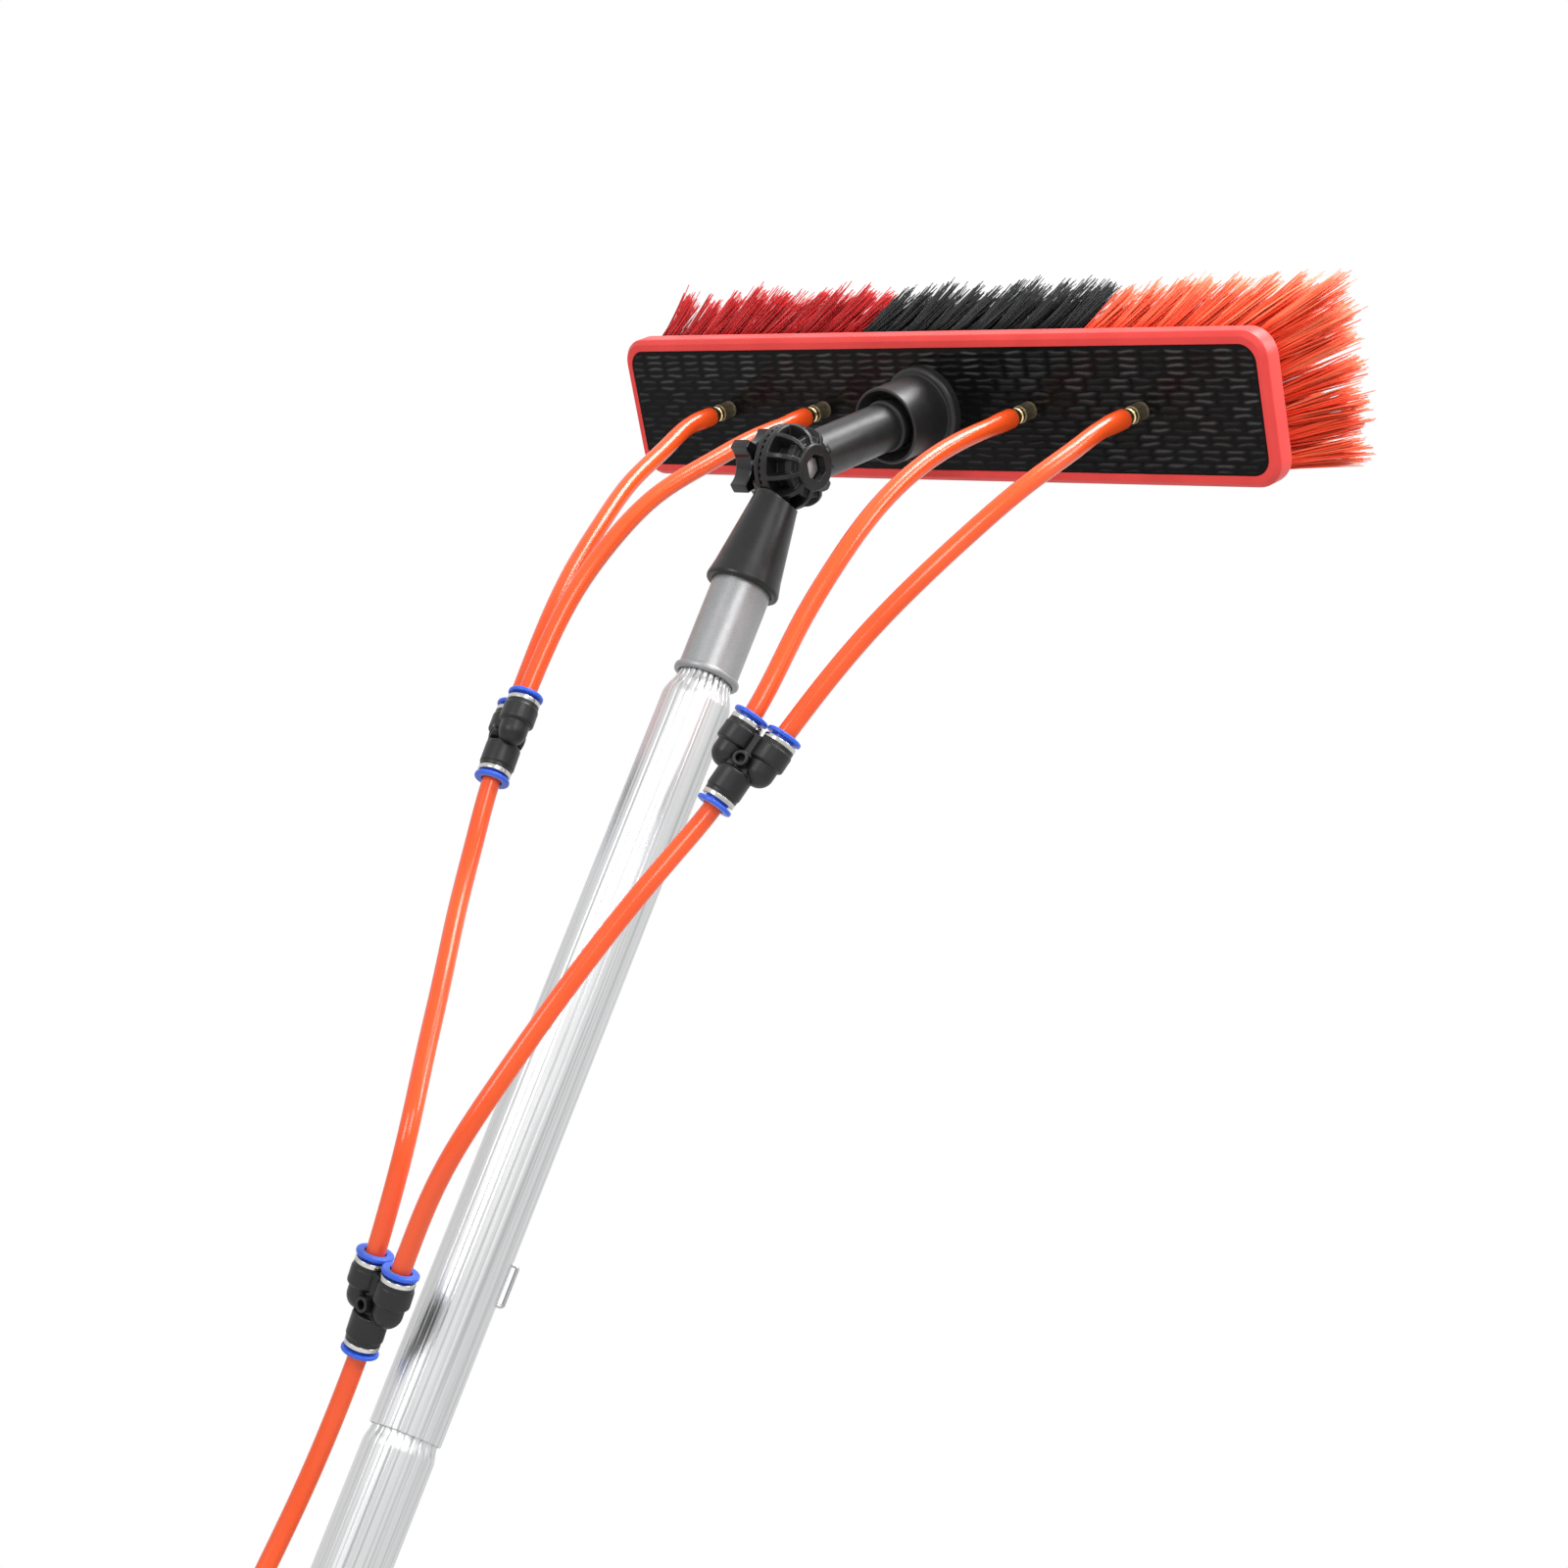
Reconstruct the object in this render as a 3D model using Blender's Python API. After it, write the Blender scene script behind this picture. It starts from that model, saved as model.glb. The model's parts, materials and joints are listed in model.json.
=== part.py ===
"""Window cleaning pole system: a water-fed brush on a tilting head and a sectional pole.

Metres, +Z up along the pole. The origin is the middle of the end cap's flat underside.
+X runs along the brush, and the bristles face +Y and +Z.
"""

from math import cos, pi, radians, sin, sqrt, tan, tau

import bmesh
import bpy
import numpy as np
from mathutils import Matrix, Vector

# Fits
GAP = 0.0003
FIT = 0.0003
PART_GAP = 0.0004

# Pole: end cap, lower section, upper section
POLE_OD = 0.030
POLE_WALL = 0.001
CAP_FLOOR = 0.003
CAP_WALL = 0.002
CAP_SKIRT = 0.022
LOWER_BODY = 0.320
LOWER_SHOULDER = 0.005
NECK_PAST_CLIP = 0.0105
UPPER_BODY = 0.3235
UPPER_SHOULDER = 0.0095
UPPER_NECK_OD = 0.0236
NECK_SHORT = 0.0039

# Collar between the pole and the tilting joint
COLLAR_WALL = 0.0009
COLLAR_FLANGE_OD = 0.0288
COLLAR_FLANGE = 0.004
COLLAR_SHOWN = 0.0396
COLLAR_SEAT = 0.0153
COLLAR_ROOF = 0.005
SPIGOT_OD = 0.018
SPIGOT_LENGTH = 0.018

# Sprung wire clip that locks the two pole sections
CLIP_WIRE = 0.0016
CLIP_SPAN = 0.017
CLIP_PROUD = 0.0023
CLIP_LEG = 0.0042
CLIP_HOLE = 0.0034
CLIP_BEND = 0.0009
CLIP_ABOVE_JOINT = 0.0595
CLIP_SIDE = radians(43.9)

# Tilting joint
TILT = radians(44)
DOME_R = 0.0186
DOME_CLEAR = 0.0006
RIM_BAND = 0.0022
HUB_R = 0.0092
HUB_FACE = 0.0156
POCKET_ROOT = 0.0115
FIN_COUNT = 11
FIN_TURN = radians(8)
FAR_HALF = 0.0105
FAR_CHAMFER = 0.002
ARM_DROP = 0.0596
ARM_LIP = 0.0076
ARM_LIP_WALL = 0.0029
ARM_TOP_OD = 0.0205
STEM_OD = 0.022
STEM_FLOOR = 0.0055
BOLT_D = 0.006
BOLT_HEAD_AF = 0.010
BOLT_HEAD = 0.004
BOLT_RECESS = 0.0039
HEX_FIT = 0.0003
WASHER_OD = 0.014
WASHER = 0.0012
KNOB_LOBES = 5
KNOB_TURN = radians(-12)
KNOB_R = 0.0165
KNOB_WAIST = 0.0107
KNOB_LENGTH = 0.0098
KNOB_EDGE = 0.0010
NUT_AF = 0.010
NUT = 0.005
NUT_SUNK = 0.0007

# Brush head, measured square to the back plate
PLATE_STANDOFF = 0.0935
PLATE_LENGTH = 0.361
PLATE_WIDTH = 0.056
PLATE_CORNER = 0.008
PLATE = 0.002
RIM_END = 0.0027
RIM_SIDE = 0.0034
BLOCK_CHAMFER = 0.0022
BLOCK_CORNER = 0.012
BLOCK = 0.0125
BLOCK_BACK_CHAMFER = 0.0022
SOCKET_OD = 0.035
SOCKET_FLARE = 0.0412
SOCKET_FLARE_RISE = 0.006
SOCKET_RISE = 0.0285
SOCKET_SPIGOT_OD = 0.030

# Water jets, two on each side of the handle
JET_PITCH = 0.060
JET_HEX_AF = 0.008
JET_HEX = 0.006
JET_RING_OD = 0.0072
JET_RING = 0.004
JET_TAIL_OD = 0.006
JET_BORE = 0.0025

# Bristles: one strand for each cell of a grid, in three colours along the brush
TUFTS_PER_JET_PITCH = 8
TUFT_ROWS = 7
TUFT_NAMES = ("bristles_red_left", "bristles_black", "bristles_red_right")
TUFT_END_RIM = 0.0067
TUFT_SIDE_RIM = 0.0024
TUFT_BLACK_LEFT = -0.049
TUFT_BLACK_RIGHT = 0.079
TUFT_SLAB = 0.0017
TUFT_TRIM = 0.0445
TUFT_END_FLARE = 0.028
TUFT_SIDE_FLARE = 0.012
TUFT_TIP_SHARE = 0.68

# Push-fit wye fittings
WYE_ARM_GAP = 0.0014
WYE_BARREL_WALL = 0.002
WYE_END = 0.015
WYE_UPPER_BARREL = 0.010
WYE_LOWER_BARREL = 0.0125
WYE_ELBOW_R = 0.0062
WYE_ELBOW_DROP = 0.0035
WYE_LEG_OD = 0.0086
WYE_WATERWAY = 0.0042
WYE_BOSS_OD = 0.0064
WYE_BOSS_HOLE = 0.0034
WYE_BOSS_LENGTH = 0.015
WYE_BORE_DEPTH = 0.008
RING_WALL = 0.0016
RING = 0.0016
COLLET_LIP = 0.0022
COLLET = 0.0018
COLLET_WALL = 0.00055
COLLET_TRAVEL = 0.0010
COLLET_SHUT = 0.0002
COLLET_SLEEVE = 0.010

# Hoses
HOSE_OD = 0.008
HOSE_SLACK = 0.00045
HOSE_IN_PORT = 0.010
HOSE_STRAIGHT = 0.001
HOSE_LEAN = 0.5
JET_STRAIGHT = 0.012
HOSE_STEP = 0.020

# Spare supply hose, coiled on the ground beside the pole
COIL_CENTRE = (-0.100, 0.042)
COIL_TURNS = 8
COIL_GAP = 0.0005
COIL_INNER_R = 0.032
COIL_POINTS = 24
COIL_LEAD = 0.016
TIE = 0.001
TIE_WIDTH = 0.008
CONNECTOR_HEX_AF = 0.010
CONNECTOR_HEX = 0.008
CONNECTOR_SLEEVE_OD = 0.0100
CONNECTOR_SLEEVE = 0.012
CONNECTOR_PLUG_OD = 0.008
CONNECTOR_PLUG = 0.018
CONNECTOR_BORE = 0.0045

# Facets round a turned piece
ROUND = 24
DOME_ROUND = 36
SMALL_ROUND = 12
WATER_ROUND = 6

# Heights along the pole
LOWER_Z = CAP_FLOOR + GAP
LOWER_BODY_TOP = LOWER_Z + LOWER_BODY
SECTION_JOINT = LOWER_BODY_TOP + LOWER_SHOULDER
UPPER_Z = SECTION_JOINT + GAP
UPPER_BODY_TOP = UPPER_Z + UPPER_BODY
NECK_Z = UPPER_BODY_TOP + UPPER_SHOULDER
FLANGE_Z = NECK_Z + GAP
ARM_Z = FLANGE_Z + COLLAR_FLANGE + COLLAR_SHOWN
PIVOT_Z = ARM_Z + ARM_DROP
CLIP_Z = UPPER_Z + CLIP_ABOVE_JOINT + CLIP_SPAN
LOWER_NECK_TOP = UPPER_Z + CLIP_ABOVE_JOINT + NECK_PAST_CLIP
COLLAR_TOP = ARM_Z + COLLAR_SEAT
UPPER_NECK_TOP = COLLAR_TOP - COLLAR_ROOF - NECK_SHORT

# Sizes that follow from the fits
POLE_R = POLE_OD / 2
COLLAR_BORE_R = UPPER_NECK_OD / 2 + FIT
COLLAR_R = COLLAR_BORE_R + COLLAR_WALL
ARM_BORE_R = COLLAR_R + FIT
HOSE_R = HOSE_OD / 2
JET_RISE = JET_HEX + JET_RING
BOLT_BORE_R = BOLT_D / 2 + FIT
COLLET_BORE_R = HOSE_R + HOSE_SLACK
COLLET_SLEEVE_R = COLLET_BORE_R + COLLET_WALL
COLLET_R = COLLET_SLEEVE_R + COLLET_LIP
PORT_BORE_R = COLLET_SLEEVE_R + FIT
RING_R = PORT_BORE_R + RING_WALL
BARREL_R = PORT_BORE_R + WYE_BARREL_WALL
WYE_ARM_X = max(BARREL_R, COLLET_R, RING_R) + WYE_ARM_GAP / 2
RING_Z = WYE_END + GAP
COLLET_Z = RING_Z + RING + COLLET_TRAVEL + COLLET_SHUT
PORT_FACE = COLLET_Z + COLLET
KNOB_X = -FAR_HALF - GAP - WASHER - GAP
STEM_LENGTH = PLATE_STANDOFF - STEM_FLOOR
BLOCK_RIM_X = PLATE_LENGTH / 2 + RIM_END
BLOCK_RIM_Y = PLATE_WIDTH / 2 + RIM_SIDE
BLOCK_OUT_X = BLOCK_RIM_X + BLOCK_CHAMFER
BLOCK_OUT_Y = BLOCK_RIM_Y + BLOCK_CHAMFER
COIL_PITCH = HOSE_OD + COIL_GAP
COIL_LOW_Z = TIE + 2 * GAP + GAP + HOSE_R
COIL_HIGH_Z = COIL_LOW_Z + COIL_PITCH

# Where each wye hangs, from the pivot: middle, way up, and way from its first arm to its second
WYES = {
    "left": ((-0.0706, -0.0281, -0.1514), (-0.13, 0.06, 0.99), (0.83, -0.51, 0.20)),
    "right": ((0.0654, -0.0272, -0.1511), (0.245, 0.07, 0.965), (0.84, 0.50, -0.20)),
    "lower": ((-0.006, -0.0354, -0.3964), (0.29, -0.36, 0.885), (0.93, 0.16, -0.33)),
}

# Points that each free hose passes through, from the pivot
JET_ROUTES = (
    ((-0.1175, 0.0355, 0.0305), (-0.112, 0.018, 0.001), (-0.104, 0.004, -0.028),
     (-0.097, -0.007, -0.056), (-0.0895, -0.0155, -0.084)),
    ((-0.061, 0.033, 0.034), (-0.063, 0.013, 0.0085), (-0.066, -0.0055, -0.0185),
     (-0.0675, -0.018, -0.0475), (-0.068, -0.027, -0.0815)),
    ((0.0595, 0.033, 0.034), (0.059, 0.0125, 0.007), (0.060, -0.004, -0.024),
     (0.0615, -0.015, -0.055), (0.062, -0.022, -0.086)),
    ((0.1195, 0.035, 0.032), (0.116, 0.016, 0.002), (0.109, 0.003, -0.027),
     (0.101, -0.0065, -0.054), (0.0915, -0.013, -0.081)),
)
LEFT_BRANCH_ROUTE = ((-0.0625, -0.030, -0.198), (-0.049, -0.036, -0.232), (-0.032, -0.044, -0.265),
                     (-0.015, -0.052, -0.300), (-0.002, -0.056, -0.335))
RIGHT_BRANCH_ROUTE = ((0.057, -0.035, -0.193), (0.050, -0.045, -0.231), (0.0435, -0.053, -0.269),
                      (0.036, -0.058, -0.306), (0.025, -0.057, -0.342))
SUPPLY_ROUTE = ((-0.021, -0.020, -0.472), (-0.0225, -0.0235, -0.530), (-0.023, -0.0245, -0.600),
                (-0.029, -0.0245, -0.670), (-0.052, -0.024, -0.729))

# Colours, roughness and metallic value of each material
FINISHES = {
    "red_plastic": ((0.74, 0.04, 0.05), 0.35, 0.0),
    "black_plastic": ((0.012, 0.012, 0.013), 0.45, 0.0),
    "grey_plastic": ((0.50, 0.51, 0.52), 0.40, 0.0),
    "aluminium": ((0.80, 0.81, 0.82), 0.25, 1.0),
    "steel": ((0.62, 0.62, 0.63), 0.25, 1.0),
    "brass": ((0.78, 0.56, 0.20), 0.25, 1.0),
    "nickel": ((0.75, 0.74, 0.71), 0.15, 1.0),
    "blue_plastic": ((0.010, 0.075, 0.52), 0.30, 0.0),
    "orange_hose": ((0.95, 0.13, 0.03), 0.20, 0.0),
    "red_bristle": ((0.70, 0.02, 0.03), 0.50, 0.0),
    "black_bristle": ((0.010, 0.010, 0.010), 0.50, 0.0),
}


# Scene and object helpers

def clear_scene():
    """Remove every object of the open file."""
    for obj in list(bpy.data.objects):
        bpy.data.objects.remove(obj)


def finish_material(name):
    """Return the named material, making it on first use."""
    if name in bpy.data.materials:
        return bpy.data.materials[name]
    colour, roughness, metallic = FINISHES[name]
    material = bpy.data.materials.new(name)
    material.use_nodes = True
    shader = material.node_tree.nodes["Principled BSDF"]
    shader.inputs["Base Color"].default_value = (*colour, 1.0)
    shader.inputs["Roughness"].default_value = roughness
    shader.inputs["Metallic"].default_value = metallic
    return material


def add_object(name, data):
    """Link an object that holds a mesh or a curve, or an empty where data is None."""
    obj = bpy.data.objects.new(name, data)
    bpy.context.scene.collection.objects.link(obj)
    return obj


def add_frame(name, matrix):
    """Add an empty that carries pieces at a place and a turn."""
    frame = add_object(name, None)
    frame.matrix_world = matrix
    return frame


def mesh_from(name, bm):
    """Turn a finished bmesh into an object with outward faces."""
    bmesh.ops.remove_doubles(bm, verts=bm.verts, dist=1e-7)
    bmesh.ops.recalc_face_normals(bm, faces=bm.faces)
    mesh = bpy.data.meshes.new(name)
    bm.to_mesh(mesh)
    bm.free()
    return add_object(name, mesh)


def hand_over(obj, finish, parent=None, matrix=None):
    """Give a piece its material, smooth shading and place."""
    obj.data.materials.clear()
    obj.data.materials.append(finish_material(finish))
    if obj.type == "MESH":
        obj.data.shade_smooth()
        obj.data.set_sharp_from_angle(angle=radians(35))
    if parent is not None:
        obj.parent = parent
    if matrix is not None:
        obj.matrix_local = matrix
    return obj


def boolean(target, tool, operation="DIFFERENCE"):
    """Cut a tool out of a target, or join it on, and drop the tool."""
    modifier = target.modifiers.new("boolean", "BOOLEAN")
    modifier.operation = operation
    modifier.solver = "EXACT"
    modifier.object = tool
    depsgraph = bpy.context.evaluated_depsgraph_get()
    mesh = bpy.data.meshes.new_from_object(target.evaluated_get(depsgraph))
    target.modifiers.clear()
    target.data = mesh
    bpy.data.objects.remove(tool)
    return target


def move(obj, matrix):
    """Move a piece's mesh inside its own frame."""
    obj.data.transform(matrix)
    return obj


# Shape helpers

def turned(name, profile, segments=ROUND):
    """Spin a profile of (radius, height) points about Z: a closed loop, or one with flat ends on the axis."""
    bm = bmesh.new()
    verts = [bm.verts.new((radius, 0, height)) for radius, height in profile]
    edges = [bm.edges.new(pair) for pair in zip(verts, verts[1:])]
    if profile[0][0] > 0:
        edges.append(bm.edges.new((verts[-1], verts[0])))
    bmesh.ops.spin(bm, geom=verts + edges, cent=(0, 0, 0), axis=(0, 0, 1), angle=tau,
                   steps=segments, use_merge=True)
    bmesh.ops.remove_doubles(bm, verts=bm.verts, dist=1e-7)
    hubs = [vert for vert in bm.verts if vert.co.to_2d().length < 1e-7]
    bmesh.ops.dissolve_verts(bm, verts=hubs)
    return mesh_from(name, bm)


def rod(name, diameter, low, high, segments=ROUND):
    """A plain cylinder on Z from one height to another."""
    radius = diameter / 2
    return turned(name, [(0, high), (radius, high), (radius, low), (0, low)], segments)


def lofted(name, outlines):
    """Skin a run of outlines that have equal numbers of points, and close both ends."""
    bm = bmesh.new()
    rings = [[bm.verts.new(point) for point in outline] for outline in outlines]
    for ring, following in zip(rings, rings[1:]):
        count = len(ring)
        for index in range(count):
            after = (index + 1) % count
            bm.faces.new((ring[index], ring[after], following[after], following[index]))
    bm.faces.new(rings[0])
    bm.faces.new(rings[-1])
    return mesh_from(name, bm)


def hexagon_rod(name, across_flats, low, high):
    """A hexagonal prism on Z with a flat side facing +X."""
    radius = across_flats / sqrt(3)
    turns = [radians(60 * step + 30) for step in range(6)]
    return lofted(name, [[(radius * cos(turn), radius * sin(turn), height) for turn in turns]
                         for height in (low, high)])


def rounded_outline(half_x, half_y, corner, height, steps=5):
    """Points of a rounded rectangle at one height."""
    points = []
    for quarter, (side_x, side_y) in enumerate(((1, 1), (-1, 1), (-1, -1), (1, -1))):
        for step in range(steps + 1):
            turn = (quarter + step / steps) * pi / 2
            points.append((side_x * (half_x - corner) + corner * cos(turn),
                           side_y * (half_y - corner) + corner * sin(turn), height))
    return points


def along_x(sign=1):
    """The turn that lays a piece made on Z along +X or -X."""
    return Matrix.Rotation(sign * pi / 2, 4, "Y")


def axes_matrix(origin, up, across):
    """A frame with Z on up and X on the part of across that is square to it."""
    axis_z = Vector(up).normalized()
    axis_x = Vector(across)
    axis_x = (axis_x - axis_z * axis_x.dot(axis_z)).normalized()
    axis_y = axis_z.cross(axis_x)
    matrix = Matrix((axis_x, axis_y, axis_z)).transposed().to_4x4()
    matrix.translation = Vector(origin)
    return matrix


# Hose helpers

def spline_samples(knots, first_way, last_way, step):
    """Evenly spaced points on a cubic curve through the knots, leaving and arriving along the given ways."""
    knots = np.array(knots, float)
    chords = np.linalg.norm(np.diff(knots, axis=0), axis=1)
    count = len(knots)
    matrix = np.zeros((count, count))
    right = np.zeros((count, 3))
    matrix[0, 0] = 1
    matrix[-1, -1] = 1
    right[0] = first_way
    right[-1] = last_way
    for index in range(1, count - 1):
        before, after = chords[index - 1], chords[index]
        matrix[index, index - 1] = after
        matrix[index, index] = 2 * (before + after)
        matrix[index, index + 1] = before
        right[index] = 3 * (after * (knots[index] - knots[index - 1]) / before
                            + before * (knots[index + 1] - knots[index]) / after)
    slopes = np.linalg.solve(matrix, right)
    dense = []
    for index, chord in enumerate(chords):
        for part in np.linspace(0, 1, 40, endpoint=index == count - 2):
            dense.append((1 + 2 * part) * (1 - part) ** 2 * knots[index]
                         + part * (1 - part) ** 2 * chord * slopes[index]
                         + part ** 2 * (3 - 2 * part) * knots[index + 1]
                         + part ** 2 * (part - 1) * chord * slopes[index + 1])
    dense = np.array(dense)
    run = np.concatenate(([0], np.cumsum(np.linalg.norm(np.diff(dense, axis=0), axis=1))))
    stations = np.linspace(0, run[-1], max(2, round(run[-1] / step) + 1))
    return np.column_stack([np.interp(stations, run, dense[:, axis]) for axis in range(3)])


def hose_path(start, start_way, route, end, end_way, start_straight, end_straight, leans):
    """A hose's points: straight out of its start, smooth through its route, straight into its end.

    Past each straight length it leans toward its route by a share of the turn.
    """
    first = Vector(start) + Vector(start_way) * start_straight
    last = Vector(end) - Vector(end_way) * end_straight
    leave = Vector(start_way).lerp((Vector(route[0]) - first).normalized(), leans[0]).normalized()
    arrive = Vector(end_way).lerp((last - Vector(route[-1])).normalized(), leans[1]).normalized()
    middle = spline_samples([first, *route, last], leave, arrive, HOSE_STEP)
    return [tuple(start), *map(tuple, middle), tuple(end)]


def tube(name, points, diameter, resolution):
    """A round bar along points, with closed ends."""
    curve = bpy.data.curves.new(name, "CURVE")
    curve.dimensions = "3D"
    curve.bevel_depth = diameter / 2
    curve.bevel_resolution = resolution
    curve.use_fill_caps = True
    spline = curve.splines.new("POLY")
    spline.points.add(len(points) - 1)
    for point, place in zip(spline.points, points):
        point.co = (*place, 1.0)
    return add_object(name, curve)


# Pole

def make_pole():
    """The end cap and the two pole sections, holed for the clip."""
    inner = POLE_R - POLE_WALL
    cap_r = POLE_R + FIT
    cap_outer = cap_r + CAP_WALL
    cap = turned("end_cap", [(0, CAP_FLOOR), (cap_r, CAP_FLOOR), (cap_r, CAP_FLOOR + CAP_SKIRT),
                             (cap_outer, CAP_FLOOR + CAP_SKIRT), (cap_outer, CAP_WALL / 2),
                             (cap_outer - CAP_WALL / 2, 0), (0, 0)])
    hand_over(cap, "black_plastic")

    neck_r = inner - FIT
    neck_bore_r = neck_r - POLE_WALL
    lower = turned("lower_pole", [(neck_r, LOWER_NECK_TOP), (neck_r, SECTION_JOINT), (POLE_R, LOWER_BODY_TOP),
                                  (POLE_R, LOWER_Z), (inner, LOWER_Z), (inner, LOWER_BODY_TOP),
                                  (neck_bore_r, SECTION_JOINT), (neck_bore_r, LOWER_NECK_TOP)])
    upper_neck_r = UPPER_NECK_OD / 2
    upper_bore_r = upper_neck_r - POLE_WALL
    upper = turned("upper_pole", [(upper_neck_r, UPPER_NECK_TOP), (upper_neck_r, NECK_Z),
                                  (POLE_R, UPPER_BODY_TOP), (POLE_R, UPPER_Z), (inner, UPPER_Z),
                                  (inner, UPPER_BODY_TOP), (upper_bore_r, NECK_Z),
                                  (upper_bore_r, UPPER_NECK_TOP)])
    side = Matrix.Rotation(CLIP_SIDE, 4, "Z")
    for pole, heights in ((lower, (CLIP_Z - CLIP_SPAN,)), (upper, (CLIP_Z, CLIP_Z - CLIP_SPAN))):
        for height in heights:
            drill = rod("drill", CLIP_HOLE, 0, POLE_OD, SMALL_ROUND)
            move(drill, Matrix.Translation((0, 0, height)) @ side @ along_x())
            boolean(pole, drill)
    hand_over(lower, "aluminium")
    hand_over(upper, "aluminium")


def make_clip():
    """The sprung wire whose lower leg locks the pole sections, hung on its upper leg."""
    points = [(-CLIP_LEG, 0, 0), (CLIP_PROUD - CLIP_BEND, 0, 0), (CLIP_PROUD, 0, -CLIP_BEND),
              (CLIP_PROUD, 0, CLIP_BEND - CLIP_SPAN), (CLIP_PROUD - CLIP_BEND, 0, -CLIP_SPAN),
              (-CLIP_LEG, 0, -CLIP_SPAN)]
    clip = tube("lock_clip", points, CLIP_WIRE, 1)
    hinge = (POLE_R * cos(CLIP_SIDE), POLE_R * sin(CLIP_SIDE), CLIP_Z)
    hand_over(clip, "steel", matrix=Matrix.Translation(hinge) @ Matrix.Rotation(CLIP_SIDE, 4, "Z"))


def make_collar():
    """The sleeve that joins the pole's neck to the joint's lower arm."""
    flange_top = FLANGE_Z + COLLAR_FLANGE
    spigot_top = COLLAR_TOP + SPIGOT_LENGTH
    bore_top = COLLAR_TOP - COLLAR_ROOF
    spigot_r = SPIGOT_OD / 2
    flange_r = COLLAR_FLANGE_OD / 2
    collar = turned("pole_collar", [
        (0, spigot_top), (spigot_r, spigot_top), (spigot_r, COLLAR_TOP), (COLLAR_R, COLLAR_TOP),
        (COLLAR_R, flange_top), (flange_r, flange_top), (flange_r, FLANGE_Z), (COLLAR_BORE_R, FLANGE_Z),
        (COLLAR_BORE_R, bore_top), (0, bore_top)])
    hand_over(collar, "grey_plastic")


# Tilting joint

def joint_clearance(low, high):
    """The round space about X that the other half of the joint turns in."""
    return move(rod("clearance", 2 * (DOME_R + DOME_CLEAR), low, high, DOME_ROUND), along_x())


def make_lower_arm(pivot):
    """The far half of the joint, with its cone over the collar."""
    face = -PART_GAP / 2
    lip_r = ARM_BORE_R + ARM_LIP_WALL
    lip_top = ARM_LIP - ARM_DROP
    edge = ARM_LIP_WALL / 4
    seat = COLLAR_SEAT + GAP - ARM_DROP
    spigot_bore = SPIGOT_OD / 2 + FIT
    top_r = ARM_TOP_OD / 2
    arm = turned("lower_arm", [(0, 0), (top_r, 0), (top_r, -DOME_R), (lip_r - edge, lip_top),
                               (lip_r, lip_top - edge), (lip_r, edge - ARM_DROP), (lip_r - edge, -ARM_DROP),
                               (ARM_BORE_R, -ARM_DROP), (ARM_BORE_R, seat), (spigot_bore, seat),
                               (spigot_bore, seat + SPIGOT_LENGTH), (0, seat + SPIGOT_LENGTH)])
    boss = turned("boss", [(0, FAR_HALF), (DOME_R - FAR_CHAMFER, FAR_HALF), (DOME_R, FAR_HALF - FAR_CHAMFER),
                           (DOME_R, -RIM_BAND), (0, -RIM_BAND)], DOME_ROUND)
    boolean(arm, move(boss, along_x(-1)), "UNION")
    boolean(arm, joint_clearance(face, DOME_R))
    boolean(arm, move(rod("drill", 2 * BOLT_BORE_R, -DOME_R, DOME_R, SMALL_ROUND), along_x()))
    hand_over(arm, "black_plastic", pivot)


def make_upper_arm(head):
    """The near half of the joint, finned about its hub, with its stem into the brush."""
    face = PART_GAP / 2
    rim = face + RIM_BAND
    shoulder = (rim + HUB_FACE) / 2
    arm = turned("upper_arm", [(0, HUB_FACE), (HUB_R, HUB_FACE), (HUB_R + RIM_BAND / 2, HUB_FACE - RIM_BAND),
                               (DOME_R - RIM_BAND, shoulder), (DOME_R, rim), (DOME_R, -RIM_BAND),
                               (0, -RIM_BAND)], DOME_ROUND)
    move(arm, along_x())
    sector = tau / FIN_COUNT - FIN_TURN
    pocket_low = rim + RIM_BAND / 8
    pocket_high = HUB_FACE - RIM_BAND * 5 / 4
    section = [(pocket_low, POCKET_ROOT), (pocket_low, 2 * DOME_R), (pocket_high, 2 * DOME_R),
               (pocket_high, HUB_R + RIM_BAND / 4)]
    for fin in range(FIN_COUNT):
        first = tau * fin / FIN_COUNT + FIN_TURN / 2
        turns = [first + sector * share for share in (0, 0.5, 1)]
        pocket = lofted("pocket", [[(x, radius * sin(turn), radius * cos(turn)) for x, radius in section]
                                   for turn in turns])
        boolean(arm, pocket)
    stem_edge = RIM_BAND / 2
    stem = turned("stem", [(0, 0), (STEM_OD / 2, 0), (STEM_OD / 2, stem_edge - STEM_LENGTH),
                           (STEM_OD / 2 - stem_edge, -STEM_LENGTH), (0, -STEM_LENGTH)])
    boolean(arm, stem, "UNION")
    boolean(arm, joint_clearance(-DOME_R, face))
    boolean(arm, move(rod("drill", 2 * BOLT_BORE_R, -DOME_R, DOME_R, SMALL_ROUND), along_x()))
    recess_floor = HUB_FACE - BOLT_RECESS - BOLT_HEAD - GAP
    recess = hexagon_rod("recess", BOLT_HEAD_AF + 2 * HEX_FIT, recess_floor, HUB_FACE + DOME_R)
    boolean(arm, move(recess, along_x()))
    hand_over(arm, "black_plastic", head)


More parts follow.
